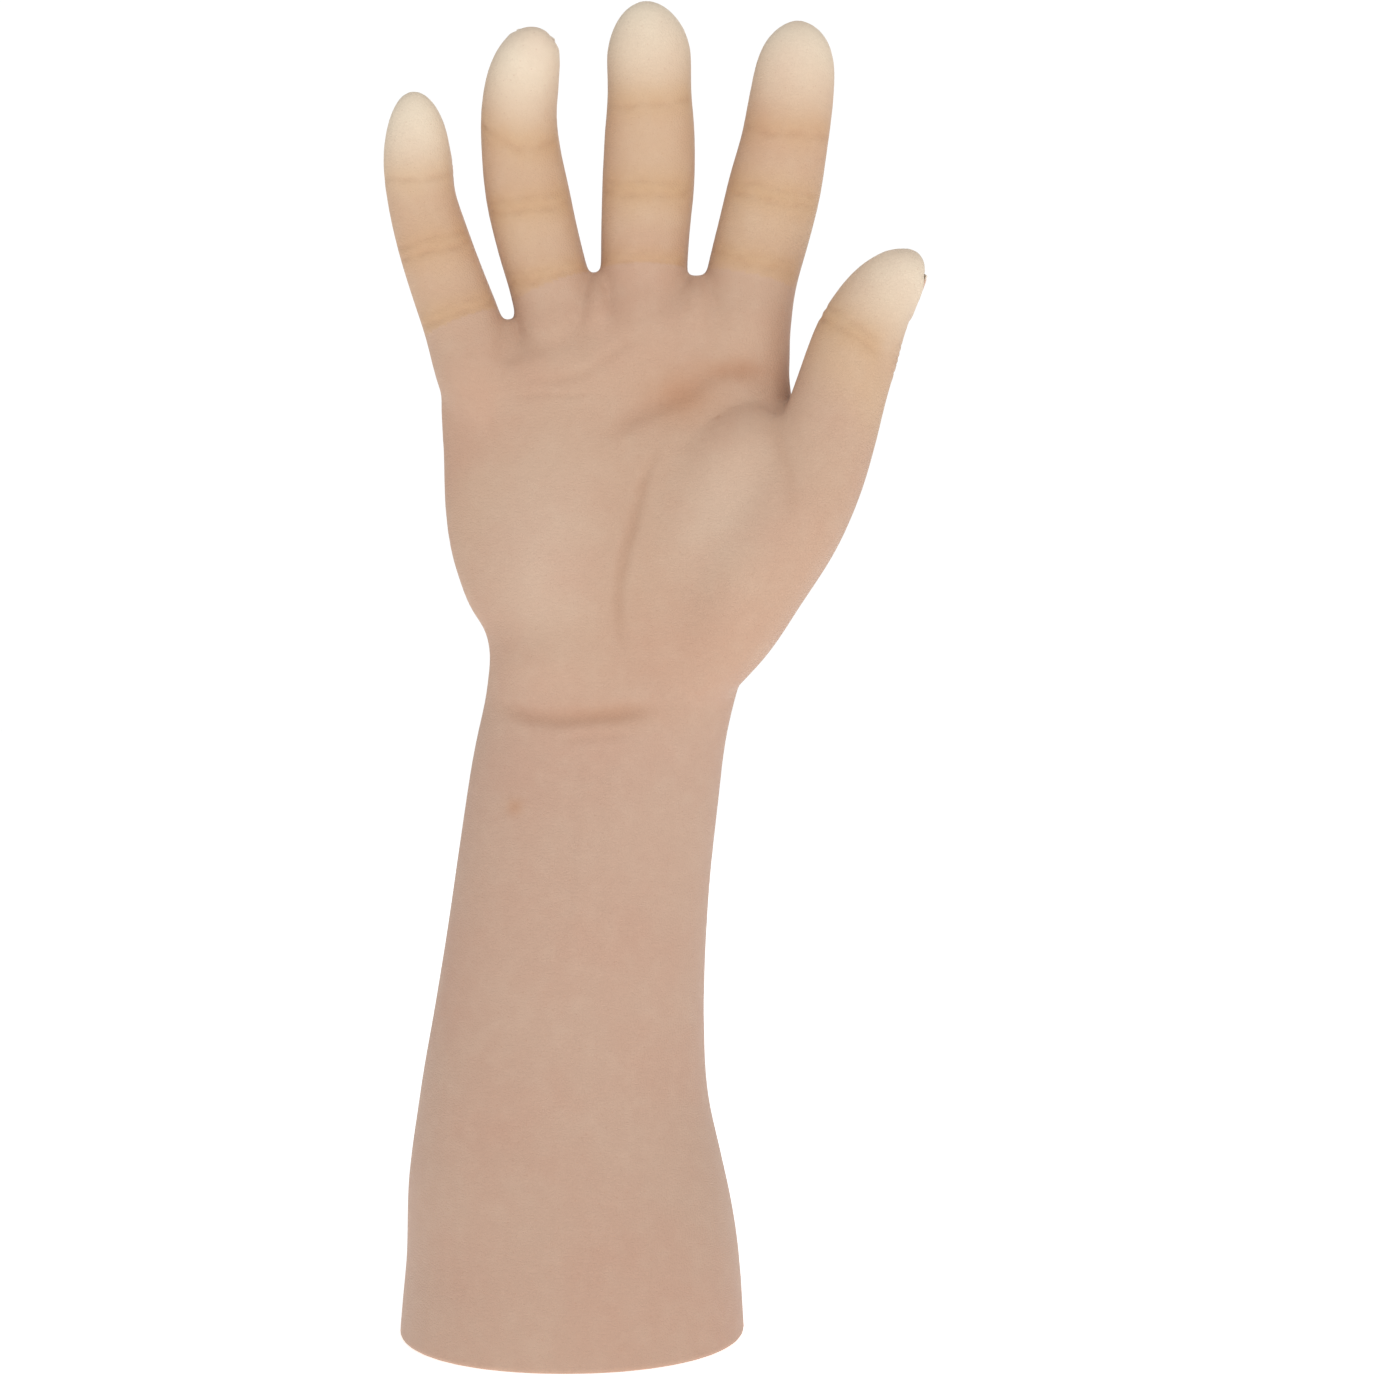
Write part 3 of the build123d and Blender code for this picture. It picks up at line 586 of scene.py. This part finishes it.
shaped = ((place + facing * raised[:, None]) * MM).astype(np.float32)
glove_mesh.vertices.foreach_set("co", shaped.ravel())
glove_mesh.update()
facing = np.empty(count * 3, np.float32)
glove_mesh.vertices.foreach_get("normal", facing)
for name, values in marks.items():
    layer = glove_mesh.attributes.new(name, "FLOAT", "POINT")
    layer.data.foreach_set("value", np.clip(values, 0, 1).astype(np.float32))
for name, values in (("rest", shaped.ravel()), ("facing", facing)):
    layer = glove_mesh.attributes.new(name, "FLOAT_VECTOR", "POINT")
    layer.data.foreach_set("vector", values)
glove_mesh.materials.clear()
casting_faces = [tuple(face.vertices) for face in glove_mesh.polygons]

# ---------------------------------------------------------------------------------------------------
# Shader helpers and shared effects. Each effect puts out a mask, a value or a normal, never a finished
# surface, and every material mixes them in its own way.
# ---------------------------------------------------------------------------------------------------


def make(tree, kind, sockets, **settings):
    """A shader node with its settings and its sockets, which take a constant or another node's output."""
    node = tree.nodes.new(kind)
    for name, value in settings.items():
        setattr(node, name, value)
    for name, value in sockets.items():
        if isinstance(value, bpy.types.NodeSocket):
            tree.links.new(value, node.inputs[name])
        else:
            node.inputs[name].default_value = value
    return node


def mix(tree, amount, first, second):
    """The colour between two colours."""
    return make(tree, "ShaderNodeMix", {0: amount, 6: first, 7: second}, data_type="RGBA").outputs[2]


def scaled(tree, value, low, high):
    """A 0 to 1 value taken to another range."""
    return make(tree, "ShaderNodeMapRange", {"Value": value, "To Min": low, "To Max": high}).outputs[0]


def picked(tree, value, low, high):
    """A value's range from low to high taken to 0 to 1. Low may be the larger of the two."""
    return make(tree, "ShaderNodeMapRange", {"Value": value, "From Min": low, "From Max": high}).outputs[0]


def combined(tree, operation, *values):
    """The result of a sum on two or three values."""
    return make(tree, "ShaderNodeMath", dict(enumerate(values)), operation=operation).outputs[0]


def noise(tree, vector, scale, **sockets):
    """Noise at a point."""
    return make(tree, "ShaderNodeTexNoise", {"Vector": vector, "Scale": scale, **sockets}).outputs[0]


def bump(tree, height, distance, strength, **sockets):
    """The normal of a surface with relief of the given depth, in metres."""
    given = {"Height": height, "Distance": distance, "Strength": strength, **sockets}
    return make(tree, "ShaderNodeBump", given).outputs[0]


def stored(tree, name, output="Fac"):
    """What the piece's own attribute holds."""
    return make(tree, "ShaderNodeAttribute", {}, attribute_name=name).outputs[output]


def material(name):
    """A new material. Returns it, its node tree and its surface node."""
    made = bpy.data.materials.new(name)
    made.use_nodes = True
    return made, made.node_tree, made.node_tree.nodes["Principled BSDF"]


def effect(name, inputs, outputs):
    """An empty node group. Returns it, its input node's outputs and its output node."""
    group = bpy.data.node_groups.new(name, "ShaderNodeTree")
    for socket, kind in inputs.items():
        group.interface.new_socket(socket, in_out="INPUT", socket_type=kind)
    for socket, kind in outputs.items():
        group.interface.new_socket(socket, in_out="OUTPUT", socket_type=kind)
    return group, group.nodes.new("NodeGroupInput").outputs, group.nodes.new("NodeGroupOutput")


# Handling wear: soft blotches, fine scratches and the worn edges of a hard part.
wear, given, result = effect(
    "handling_wear",
    {"Vector": "NodeSocketVector", "Grain": "NodeSocketFloat", "Depth": "NodeSocketFloat"},
    {
        "Blotch": "NodeSocketFloat",
        "Scratch": "NodeSocketFloat",
        "Edge": "NodeSocketFloat",
        "Normal": "NodeSocketVector",
    },
)
blotch = noise(wear, given["Vector"], 90.0, Detail=5.0)
scratch_scale = (140.0, 2600.0, 260.0)
stretched = make(wear, "ShaderNodeMapping", {"Vector": given["Vector"], "Scale": scratch_scale}).outputs[0]
scratch = picked(wear, noise(wear, stretched, 1.0, Detail=2.0), 0.60, 0.72)
grain = noise(wear, given["Vector"], given["Grain"], Detail=4.0)
edge = picked(wear, make(wear, "ShaderNodeNewGeometry", {}).outputs["Pointiness"], 0.52, 0.60)
worn_normal = bump(wear, combined(wear, "SUBTRACT", grain, scratch), given["Depth"], 0.6)
for socket, output in zip(("Blotch", "Scratch", "Edge", "Normal"), (blotch, scratch, edge, worn_normal)):
    wear.links.new(output, result.inputs[socket])

# ---------------------------------------------------------------------------------------------------
# Silicone, the finish: room-temperature-cured silicone tinted in the mould and hand painted, paler at the
# fingertips and redder in the hollows, with the fine cell pattern of skin and a matted surface. The paler
# tips also stand in for painted glow of light through the thin silicone; the hollows and creases carry
# painted shade, and the pads of the palm painted highlight.
# ---------------------------------------------------------------------------------------------------
silicone, tree, surface = material("tinted_silicone")
rest = stored(tree, "rest", "Vector")
painted = {name: stored(tree, name) for name in marks}
tint = mix(tree, painted["hand"], (0.545, 0.363, 0.268, 1), (0.560, 0.368, 0.258, 1))
# Painted highlight on the bulging pads of the palm.
tint = mix(tree, painted["pads"], tint, (0.620, 0.445, 0.330, 1))
tint = mix(tree, painted["finger"], tint, (0.600, 0.402, 0.262, 1))
tint = mix(tree, painted["warm"], tint, (0.585, 0.368, 0.205, 1))
# Paler tips: their own tone, and painted glow of light through the thin silicone.
tint = mix(tree, painted["pallor"], tint, (0.790, 0.670, 0.520, 1))
# A redder tint with painted shade in the palm hollow and along the index base and wrist folds, and the mole.
tint = mix(tree, painted["blush"], tint, (0.500, 0.262, 0.150, 1))
clouds = picked(tree, noise(tree, rest, 32.0, Detail=4.0, Roughness=0.55), 0.42, 0.68)
tint = mix(tree, scaled(tree, clouds, 0.0, 0.22), tint, (0.520, 0.255, 0.175, 1))
flush = picked(tree, noise(tree, rest, 210.0, Detail=3.0), 0.45, 0.75)
tint = mix(tree, scaled(tree, flush, 0.0, 0.10), tint, (0.700, 0.560, 0.430, 1))
flock = make(tree, "ShaderNodeTexVoronoi", {"Vector": rest, "Scale": 520.0, "Randomness": 1.0})
flock_mask = picked(tree, flock.outputs["Distance"], 0.16, 0.05)
tint = mix(tree, scaled(tree, flock_mask, 0.0, 0.22), tint, (0.430, 0.205, 0.130, 1))
# Painted shade: the tint darkens along the creases and folds, round the nails and in the pores.
tint = mix(tree, scaled(tree, painted["crease"], 0.0, 0.5), tint, (0.400, 0.205, 0.120, 1))
cells = make(tree, "ShaderNodeTexVoronoi", {"Vector": rest, "Scale": 1150.0}, feature="DISTANCE_TO_EDGE")
cell_groove = picked(tree, cells.outputs["Distance"], 0.0, 0.18)
coarse = noise(tree, rest, 420.0, Detail=5.0, Roughness=0.6)
skin_height = combined(tree, "ADD", combined(tree, "MULTIPLY", cell_groove, 0.45), coarse)
skin_bump = bump(tree, skin_height, 0.00022, 0.55)
matt = scaled(tree, coarse, 0.50, 0.66)
for socket, value in (("Base Color", tint), ("Roughness", matt), ("Normal", skin_bump)):
    tree.links.new(value, surface.inputs[socket])
surface.inputs["Specular IOR Level"].default_value = 0.32
surface.inputs["Sheen Weight"].default_value = 0.08
surface.inputs["Sheen Roughness"].default_value = 0.5

# ---------------------------------------------------------------------------------------------------
# Silicone glove, the pieces: in reality it is one casting that stretches over every joint. It is cut here
# between the joints, where it follows one part only, and each piece covers the joint in its middle. Only the
# palm piece is attached to its part; the others stay where they were cast.
# ---------------------------------------------------------------------------------------------------
WRIST_LOW, WRIST_HIGH = 143.0, 178.0
RIM = 1.2
FINGER_ROOT_ZONE = 12.5
ZONE_MARGIN = 0.7
PROXIMAL_CUT = 16.4  # from a finger's first pin to the cut before its second
MIDDLE_CUTS = {"index": 10.5, "middle": 11.5, "ring": 11.0, "little": 9.7}  # beyond the second pin
TIP_ZONES = {"index": 9.5, "middle": 10.5, "ring": 10.5, "little": 9.0}  # end beyond the third pin
THUMB_CUT, THUMB_ROOT_ZONE, THUMB_TIP_ZONE = 26.5, 11.2, 41.0

bm = bmesh.new()
bm.from_mesh(glove_mesh)


def cut(point, normal, faces):
    """Cuts the given faces of the glove along a plane, in millimetres."""
    edges = {e for f in faces for e in f.edges}
    verts = {v for e in edges for v in e.verts}
    bmesh.ops.bisect_plane(
        bm, geom=[*faces, *edges, *verts], dist=1e-7, plane_co=Vector(point) * MM, plane_no=Vector(normal)
    )


def near_plane(point, normal, name=None, reach=2.5):
    """The glove's faces close to a plane, on one digit only if it is named."""
    centres = np.array([f.calc_center_median()[:] for f in bm.faces]) / MM
    chosen = np.abs((centres - point) @ np.array(normal)) < reach
    if name:
        side = on_digit(centres + np.array(DIGITS[name]["leaves"]) * 2 * reach, name)
        chosen &= side
    faces = list(bm.faces)
    return [faces[k] for k in np.flatnonzero(chosen)]


planes = []
for name, digit in DIGITS.items():
    line = digit["line"]
    first = unit(line[1] - line[0])
    if name == "thumb":
        cuts = [(line[0] + first * THUMB_CUT, first)]
    else:
        second = unit(line[2] - line[1])
        cuts = [(line[0] + first * PROXIMAL_CUT, first), (line[1] + second * MIDDLE_CUTS[name], second)]
    digit["cuts"] = cuts
    for point, normal in [(np.array(digit["root"], float), np.array(digit["leaves"], float)), *cuts]:
        cut(point, normal, near_plane(point, normal, name))
for height in (RIM, WRIST_LOW, WRIST_HIGH):
    cut((0, 0, height), (0, 0, 1), near_plane((0, 0, height), (0, 0, 1)))
bmesh.ops.delete(bm, geom=[f for f in bm.faces if f.calc_center_median().z < RIM * MM], context="FACES")
bmesh.ops.triangulate(bm, faces=[f for f in bm.faces if len(f.verts) > 4])

# The rim: the casting turns in over the mouth, is flat where the forearm stands, and ends inside the shell.
# Each step has its inset, its height and the angle that its surface faces, from outward round to inward.
RIM_PROFILE = [
    *((0.09, 0.74, 22.5), (0.35, 0.35, 45), (0.74, 0.09, 67.5), (1.2, 0, 90)),
    *((2.6, 0, 90), (2.88, 0.12, 135), (3, 0.4, 180), (3, 8, 180)),
]
facing_layer = bm.verts.layers.float_vector["facing"]
loop = [e for e in bm.edges if e.is_boundary]
outward = {v: v[facing_layer].copy() for e in loop for v in e.verts}
for v, way in outward.items():
    way.z = 0
    way.normalize()
    v[facing_layer] = way
inset, height = 0.0, RIM
turned = []
for new_inset, new_height, angle in RIM_PROFILE:
    made = bmesh.ops.extrude_edge_only(bm, edges=loop)["geom"]
    loop = [g for g in made if isinstance(g, bmesh.types.BMEdge)]
    loop = [e for e in loop if e.is_boundary]
    for v in {v for e in loop for v in e.verts}:
        v.co -= v[facing_layer] * (new_inset - inset) * MM
        v.co.z += (new_height - height) * MM
        turned.append((v, angle))
    inset, height = new_inset, new_height
for v, angle in turned:
    way = v[facing_layer] * math.cos(math.radians(angle))
    v[facing_layer] = (way.x, way.y, -math.sin(math.radians(angle)))
bmesh.ops.recalc_face_normals(bm, faces=bm.faces)
bm.to_mesh(glove_mesh)
bm.free()

centres = np.empty(len(glove_mesh.polygons) * 3)
glove_mesh.polygons.foreach_get("center", centres)
centres = centres.reshape(-1, 3) / MM
labels = np.where(centres[:, 2] > WRIST_HIGH, 2, np.where(centres[:, 2] > WRIST_LOW, 1, 0))
PIECES = ["glove_forearm", "glove_wrist", "glove_palm"]
BENDS = {
    "glove_forearm": ("forearm", "wrist", (0, 0, 96), (0, 0, 142.5), ["forearm_skin"], "silicone_forearm"),
    "glove_wrist": ("wrist", "palm", (0, 0, 145), (0, 0, 176), ["wrist_skin"], "silicone_forearm"),
}
for name, digit in DIGITS.items():
    on = on_digit(centres, name)
    line, cuts = digit["line"], digit["cuts"]
    start, leaves = np.array(digit["root"], float), np.array(digit["leaves"], float)
    zone = THUMB_ROOT_ZONE if name == "thumb" else FINGER_ROOT_ZONE
    steps = [(f"{name}_proximal", "palm", start, start + leaves * zone)]
    first_cut = cuts[0][0]
    if name == "thumb":
        first = cuts[0][1]
        steps.append((f"{name}_distal", f"{name}_proximal", first_cut, line[0] + first * THUMB_TIP_ZONE))
    else:
        second_cut, second = cuts[1]
        margin = unit(second_cut - first_cut) * ZONE_MARGIN
        steps.append((f"{name}_middle", f"{name}_proximal", first_cut + margin, second_cut - margin))
        steps.append((f"{name}_distal", f"{name}_middle", second_cut, line[2] + second * TIP_ZONES[name]))
    for step, (body, before, low, high) in enumerate(steps):
        if step > 0:
            point, normal = cuts[step - 1]
            on = on & ((centres - point) @ normal > 0)
        labels[on] = len(PIECES)
        PIECES.append(f"glove_{body}")
        slot = "silicone_fingertips" if body.endswith("distal") else "silicone_fingers"
        BENDS[f"glove_{body}"] = (before, body, low, high, [f"{body}_skin"], slot)

for name in PIECES:
    glove_mesh.materials.append(silicone)
glove_mesh.polygons.foreach_set("material_index", labels.astype(np.int32))
glove_mesh.attributes.new("part", "INT", "FACE").data.foreach_set("value", labels.astype(np.int32))
glove_mesh.polygons.foreach_set("use_smooth", np.ones(len(labels), bool))
glove = bpy.data.objects.new("glove", glove_mesh)
bpy.context.scene.collection.objects.link(glove)
before_split = set(bpy.data.objects)
bpy.context.view_layer.objects.active = glove
glove.select_set(True)
bpy.ops.object.mode_set(mode="EDIT")
bpy.ops.mesh.select_all(action="SELECT")
bpy.ops.mesh.separate(type="MATERIAL")
bpy.ops.object.mode_set(mode="OBJECT")
for piece in [glove, *(set(bpy.data.objects) - before_split)]:
    name = PIECES[piece.data.attributes["part"].data[0].value]
    piece.name = name
    piece.data.name = name
    piece.data.materials.clear()
    piece.data.materials.append(silicone)
    piece.data.polygons.foreach_set("material_index", np.zeros(len(piece.data.polygons), np.int32))
    normals = np.empty(len(piece.data.vertices) * 3, np.float32)
    piece.data.attributes["facing"].data.foreach_get("vector", normals)
    normals = normals.reshape(-1, 3)
    normals /= np.maximum(np.linalg.norm(normals, axis=1), 1e-9)[:, None]
    piece.data.normals_split_custom_set_from_vertices(normals)
    if name == "glove_palm":
        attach(piece, "palm")
        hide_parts("palm_skin")
        continue
    before, body, low, high, nodes, slot = BENDS[name]
    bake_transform(piece)
    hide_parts(*nodes)

# ---------------------------------------------------------------------------------------------------
# Nails: five thin acrylic plates, cast and painted one by one, and glued into the beds in the glove. Each
# keeps the finger's curve across, follows its bed nearly to the free edge and has a pale half moon.
# ---------------------------------------------------------------------------------------------------
NAIL_COLUMNS, NAIL_ROWS = 16, 20
NAIL_LIFT, NAIL_WALL = 0.22, 0.45

acrylic, tree, surface = material("painted_acrylic")
along_nail, across_nail = stored(tree, "along"), stored(tree, "across")
bow = combined(tree, "MULTIPLY", across_nail, across_nail)
moon = picked(tree, combined(tree, "MULTIPLY_ADD", bow, 0.22, along_nail), 0.24, 0.17)
free_edge = picked(tree, along_nail, 0.86, 0.91)
flat = make(tree, "ShaderNodeCombineXYZ", {"X": across_nail, "Y": along_nail}).outputs[0]
ridges = make(tree, "ShaderNodeMapping", {"Vector": flat, "Scale": (17.0, 0.7, 1.0)}).outputs[0]
lines = noise(tree, ridges, 1.0, Detail=3.0)
tint = mix(tree, scaled(tree, lines, 0.0, 0.5), (0.68, 0.47, 0.37, 1), (0.73, 0.54, 0.43, 1))
tint = mix(tree, scaled(tree, moon, 0.0, 0.6), tint, (0.82, 0.72, 0.64, 1))
tint = mix(tree, scaled(tree, free_edge, 0.0, 0.8), tint, (0.84, 0.79, 0.70, 1))
tree.links.new(tint, surface.inputs["Base Color"])
tree.links.new(scaled(tree, lines, 0.22, 0.34), surface.inputs["Roughness"])
nail_bump = bump(tree, lines, 0.00008, 0.5)
tree.links.new(nail_bump, surface.inputs["Normal"])
surface.inputs["Coat Weight"].default_value = 0.25

casting_tree = BVHTree.FromPolygons([Vector(co) for co in shaped.reshape(-1, 3)], casting_faces)
for name, (origin, across, along, up) in nail_frames.items():
    width, length = NAILS[name]
    bm = bmesh.new()
    bmesh.ops.create_grid(bm, x_segments=NAIL_COLUMNS, y_segments=NAIL_ROWS, size=0.5)
    across_layer = bm.verts.layers.float.new("across")
    along_layer = bm.verts.layers.float.new("along")

    def height_at(u, v):
        """How high the glove's surface is above the nail's frame, in millimetres."""
        start = Vector(origin + across * u + along * v + up * 25) * MM
        hit = casting_tree.ray_cast(start, -Vector(up))[0]
        return 25 - (start - hit).length / MM

    # The plate keeps one curve across, the finger's own at the middle of the nail.
    side = 0.36 * width
    middle = 0.45 * length
    fall = height_at(0, middle) - (height_at(side, middle) + height_at(-side, middle)) / 2
    curve = (side**2 + fall**2) / (2 * fall)
    measured, bedded = 0.8 * length, 0.94 * length
    high = height_at(0, bedded)
    slope = max((high - height_at(0, measured)) / (0.14 * length), -1.3)
    for vert in bm.verts:
        s, t = vert.co.x * 2, vert.co.y + 0.5
        root = NAIL_CORNER * (1 - math.sqrt(max(0.0, 1 - (0.93 * s) ** 2))) * 0.8
        u = s * width / 2 * (0.95 + 0.05 * math.sin(math.pi * t))
        v = root + (length - root - 0.5 * s * s) * t
        h = height_at(0, v) if v < bedded else high + slope * (v - bedded)
        h -= curve - math.sqrt(max(curve**2 - u**2, 0.0))
        vert[across_layer], vert[along_layer] = s, t
        vert.co = Vector(origin + across * u + along * v + up * (h + NAIL_LIFT)) * MM
    bmesh.ops.smooth_vert(bm, verts=bm.verts, factor=0.5, use_axis_x=True, use_axis_y=True, use_axis_z=True)
    bmesh.ops.recalc_face_normals(bm, faces=bm.faces)
    outer = sum((f.normal for f in bm.faces), Vector())
    if outer.dot(Vector(up)) < 0:
        bmesh.ops.reverse_faces(bm, faces=bm.faces)
    nail_mesh = bpy.data.meshes.new(f"{name}_nail_plate")
    bm.to_mesh(nail_mesh)
    bm.free()
    nail_mesh.polygons.foreach_set("use_smooth", np.ones(len(nail_mesh.polygons), bool))
    nail_mesh.materials.append(acrylic)
    nail = bpy.data.objects.new(f"{name}_nail_plate", nail_mesh)
    bpy.context.scene.collection.objects.link(nail)
    wall = nail.modifiers.new("wall", "SOLIDIFY")
    wall.thickness = NAIL_WALL * MM
    wall.offset = 0.0
    edge = nail.modifiers.new("filed_edge", "BEVEL")
    edge.width = 0.15 * MM
    edge.segments = 2
    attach(nail, f"{name}_distal")
    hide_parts(f"{name}_nail")


def dress(finish, *nodes):
    """Gives carried-over parts their finish."""
    for node in nodes:
        mesh = frame["nodes"][node].data
        mesh.materials.clear()
        mesh.materials.append(finish)
        mesh.polygons.foreach_set("material_index", np.zeros(len(mesh.polygons), np.int32))


def worn(tree, grain, depth):
    """The wear effect on a part, by its own coordinates. Returns its outputs."""
    coordinates = make(tree, "ShaderNodeTexCoord", {}).outputs["Object"]
    used = make(tree, "ShaderNodeGroup", {}, node_tree=wear)
    tree.links.new(coordinates, used.inputs["Vector"])
    used.inputs["Grain"].default_value = grain
    used.inputs["Depth"].default_value = depth
    return coordinates, used.outputs


FINGERS = ("index", "middle", "ring", "little")
SEGMENTS = [f"{finger}_{part}" for finger in FINGERS for part in ("proximal", "middle", "distal")]
SEGMENTS += ["thumb_proximal", "thumb_distal"]

# ---------------------------------------------------------------------------------------------------
# Finger frame: glass-filled nylon links and the moulded palm plate that they hinge on. The nylon is ivory,
# with short fibres that show as streaks, and it is polished darker where the joints rub.
# ---------------------------------------------------------------------------------------------------
nylon, tree, surface = material("glass_filled_nylon")
coordinates, effects = worn(tree, 900.0, 0.00006)
drawn = make(tree, "ShaderNodeMapping", {"Vector": coordinates, "Scale": (1500.0, 1500.0, 190.0)}).outputs[0]
tint = mix(tree, noise(tree, drawn, 1.0), (0.50, 0.46, 0.38, 1), (0.68, 0.65, 0.57, 1))
tint = mix(tree, scaled(tree, effects["Blotch"], 0.0, 0.4), tint, (0.42, 0.37, 0.29, 1))
tint = mix(tree, scaled(tree, effects["Edge"], 0.0, 0.5), tint, (0.80, 0.78, 0.72, 1))
tree.links.new(tint, surface.inputs["Base Color"])
tree.links.new(scaled(tree, effects["Blotch"], 0.38, 0.62), surface.inputs["Roughness"])
tree.links.new(effects["Normal"], surface.inputs["Normal"])
dress(nylon, "palm_frame", *(f"{segment}_link" for segment in SEGMENTS))

# ---------------------------------------------------------------------------------------------------
# Hinge pins, screws and the wrist pin: turned stainless steel, pressed or screwed in, with a drawn finish
# and fine scratches from assembly.
# ---------------------------------------------------------------------------------------------------
steel, tree, surface = material("stainless_steel")
coordinates, effects = worn(tree, 1800.0, 0.00002)
tint = mix(tree, effects["Blotch"], (0.46, 0.47, 0.48, 1), (0.62, 0.62, 0.61, 1))
tint = mix(tree, scaled(tree, effects["Scratch"], 0.0, 0.5), tint, (0.78, 0.78, 0.78, 1))
tree.links.new(tint, surface.inputs["Base Color"])
tree.links.new(scaled(tree, effects["Scratch"], 0.22, 0.42), surface.inputs["Roughness"])
tree.links.new(effects["Normal"], surface.inputs["Normal"])
surface.inputs["Metallic"].default_value = 1.0
joint_pins = [f"{finger}_{part}_pin" for finger in FINGERS for part in ("middle", "distal")]
dress(steel, "lock_screws", "housing_screws", "wrist_pin", "knuckle_pins", "thumb_distal_pin", *joint_pins)

# ---------------------------------------------------------------------------------------------------
# Wrist unit and liner lock: turned aluminium, anodised a warm grey, with the lathe's rings left in it and
# bright metal where edges have been knocked.
# ---------------------------------------------------------------------------------------------------
aluminium, tree, surface = material("anodised_aluminium")
coordinates, effects = worn(tree, 1200.0, 0.00003)
turning = {"Vector": coordinates, "Scale": 900.0, "Distortion": 0.6}
lathe = make(tree, "ShaderNodeTexWave", turning, wave_type="RINGS", rings_direction="Z").outputs["Fac"]
tint = mix(tree, effects["Blotch"], (0.20, 0.205, 0.22, 1), (0.29, 0.295, 0.31, 1))
tint = mix(tree, scaled(tree, lathe, 0.0, 0.25), tint, (0.36, 0.36, 0.37, 1))
tint = mix(tree, effects["Edge"], tint, (0.74, 0.74, 0.75, 1))
tree.links.new(tint, surface.inputs["Base Color"])
tree.links.new(scaled(tree, lathe, 0.28, 0.44), surface.inputs["Roughness"])
tree.links.new(effects["Normal"], surface.inputs["Normal"])
surface.inputs["Metallic"].default_value = 0.85
dress(aluminium, "pin_lock", "wrist_housing", "wrist_rotor", "rotor_nut")

# ---------------------------------------------------------------------------------------------------
# Socket: a stockinette-and-resin laminate, cast over the limb's model. The knitted cloth shows through the
# flesh-tinted resin as a fine diagonal weave under a glossy skin.
# ---------------------------------------------------------------------------------------------------
laminate, tree, surface = material("knitted_laminate")
coordinates, effects = worn(tree, 500.0, 0.00008)
parts = make(tree, "ShaderNodeSeparateXYZ", {"Vector": coordinates}).outputs
girth = combined(tree, "MULTIPLY", combined(tree, "ARCTAN2", parts["Y"], parts["X"]), 0.038)
flat = make(tree, "ShaderNodeCombineXYZ", {"X": girth, "Y": parts["Z"]}).outputs[0]
mirrored = make(tree, "ShaderNodeMapping", {"Vector": flat, "Scale": (-1.0, 1.0, 1.0)}).outputs[0]
courses, wales = (
    make(
        tree,
        "ShaderNodeTexWave",
        {"Vector": vector, "Scale": 130.0, "Distortion": 0.3},
        bands_direction="DIAGONAL",
    ).outputs["Fac"]
    for vector in (flat, mirrored)
)
knit = combined(tree, "MULTIPLY", courses, wales)
tint = mix(tree, knit, (0.45, 0.30, 0.215, 1), (0.62, 0.47, 0.36, 1))
tint = mix(tree, scaled(tree, effects["Blotch"], 0.0, 0.45), tint, (0.50, 0.32, 0.22, 1))
tree.links.new(tint, surface.inputs["Base Color"])
tree.links.new(scaled(tree, effects["Scratch"], 0.26, 0.5), surface.inputs["Roughness"])
tree.links.new(bump(tree, knit, 0.00012, 0.5, Normal=effects["Normal"]), surface.inputs["Normal"])
surface.inputs["Coat Weight"].default_value = 0.3
dress(laminate, "socket_shell", "socket_end_plate")

# ---------------------------------------------------------------------------------------------------
# Palm filling and friction ring: an open-celled foam block that carries the glove between the frame and
# the skin, and a self-lubricating acetal ring that gives the wrist its stiffness.
# ---------------------------------------------------------------------------------------------------
foam, tree, surface = material("open_cell_foam")
coordinates, effects = worn(tree, 1500.0, 0.0002)
pores = make(tree, "ShaderNodeTexVoronoi", {"Vector": coordinates, "Scale": 900.0}).outputs["Distance"]
# Painted shade: the tint darkens towards the middle of each pore, in the open cells of the foam.
tint = mix(tree, pores, (0.36, 0.28, 0.17, 1), (0.74, 0.66, 0.48, 1))
tint = mix(tree, scaled(tree, effects["Blotch"], 0.0, 0.4), tint, (0.62, 0.50, 0.32, 1))
tree.links.new(tint, surface.inputs["Base Color"])
surface.inputs["Roughness"].default_value = 0.95
tree.links.new(bump(tree, pores, 0.0006, 0.9, Normal=effects["Normal"]), surface.inputs["Normal"])
dress(foam, "palm_foam")

acetal, tree, surface = material("acetal")
coordinates, effects = worn(tree, 1400.0, 0.00003)
tint = mix(tree, effects["Blotch"], (0.030, 0.030, 0.032, 1), (0.060, 0.058, 0.056, 1))
tint = mix(tree, scaled(tree, effects["Scratch"], 0.0, 0.7), tint, (0.16, 0.16, 0.16, 1))
tree.links.new(tint, surface.inputs["Base Color"])
tree.links.new(scaled(tree, effects["Blotch"], 0.30, 0.48), surface.inputs["Roughness"])
tree.links.new(effects["Normal"], surface.inputs["Normal"])
dress(acetal, "wrist_friction_ring")
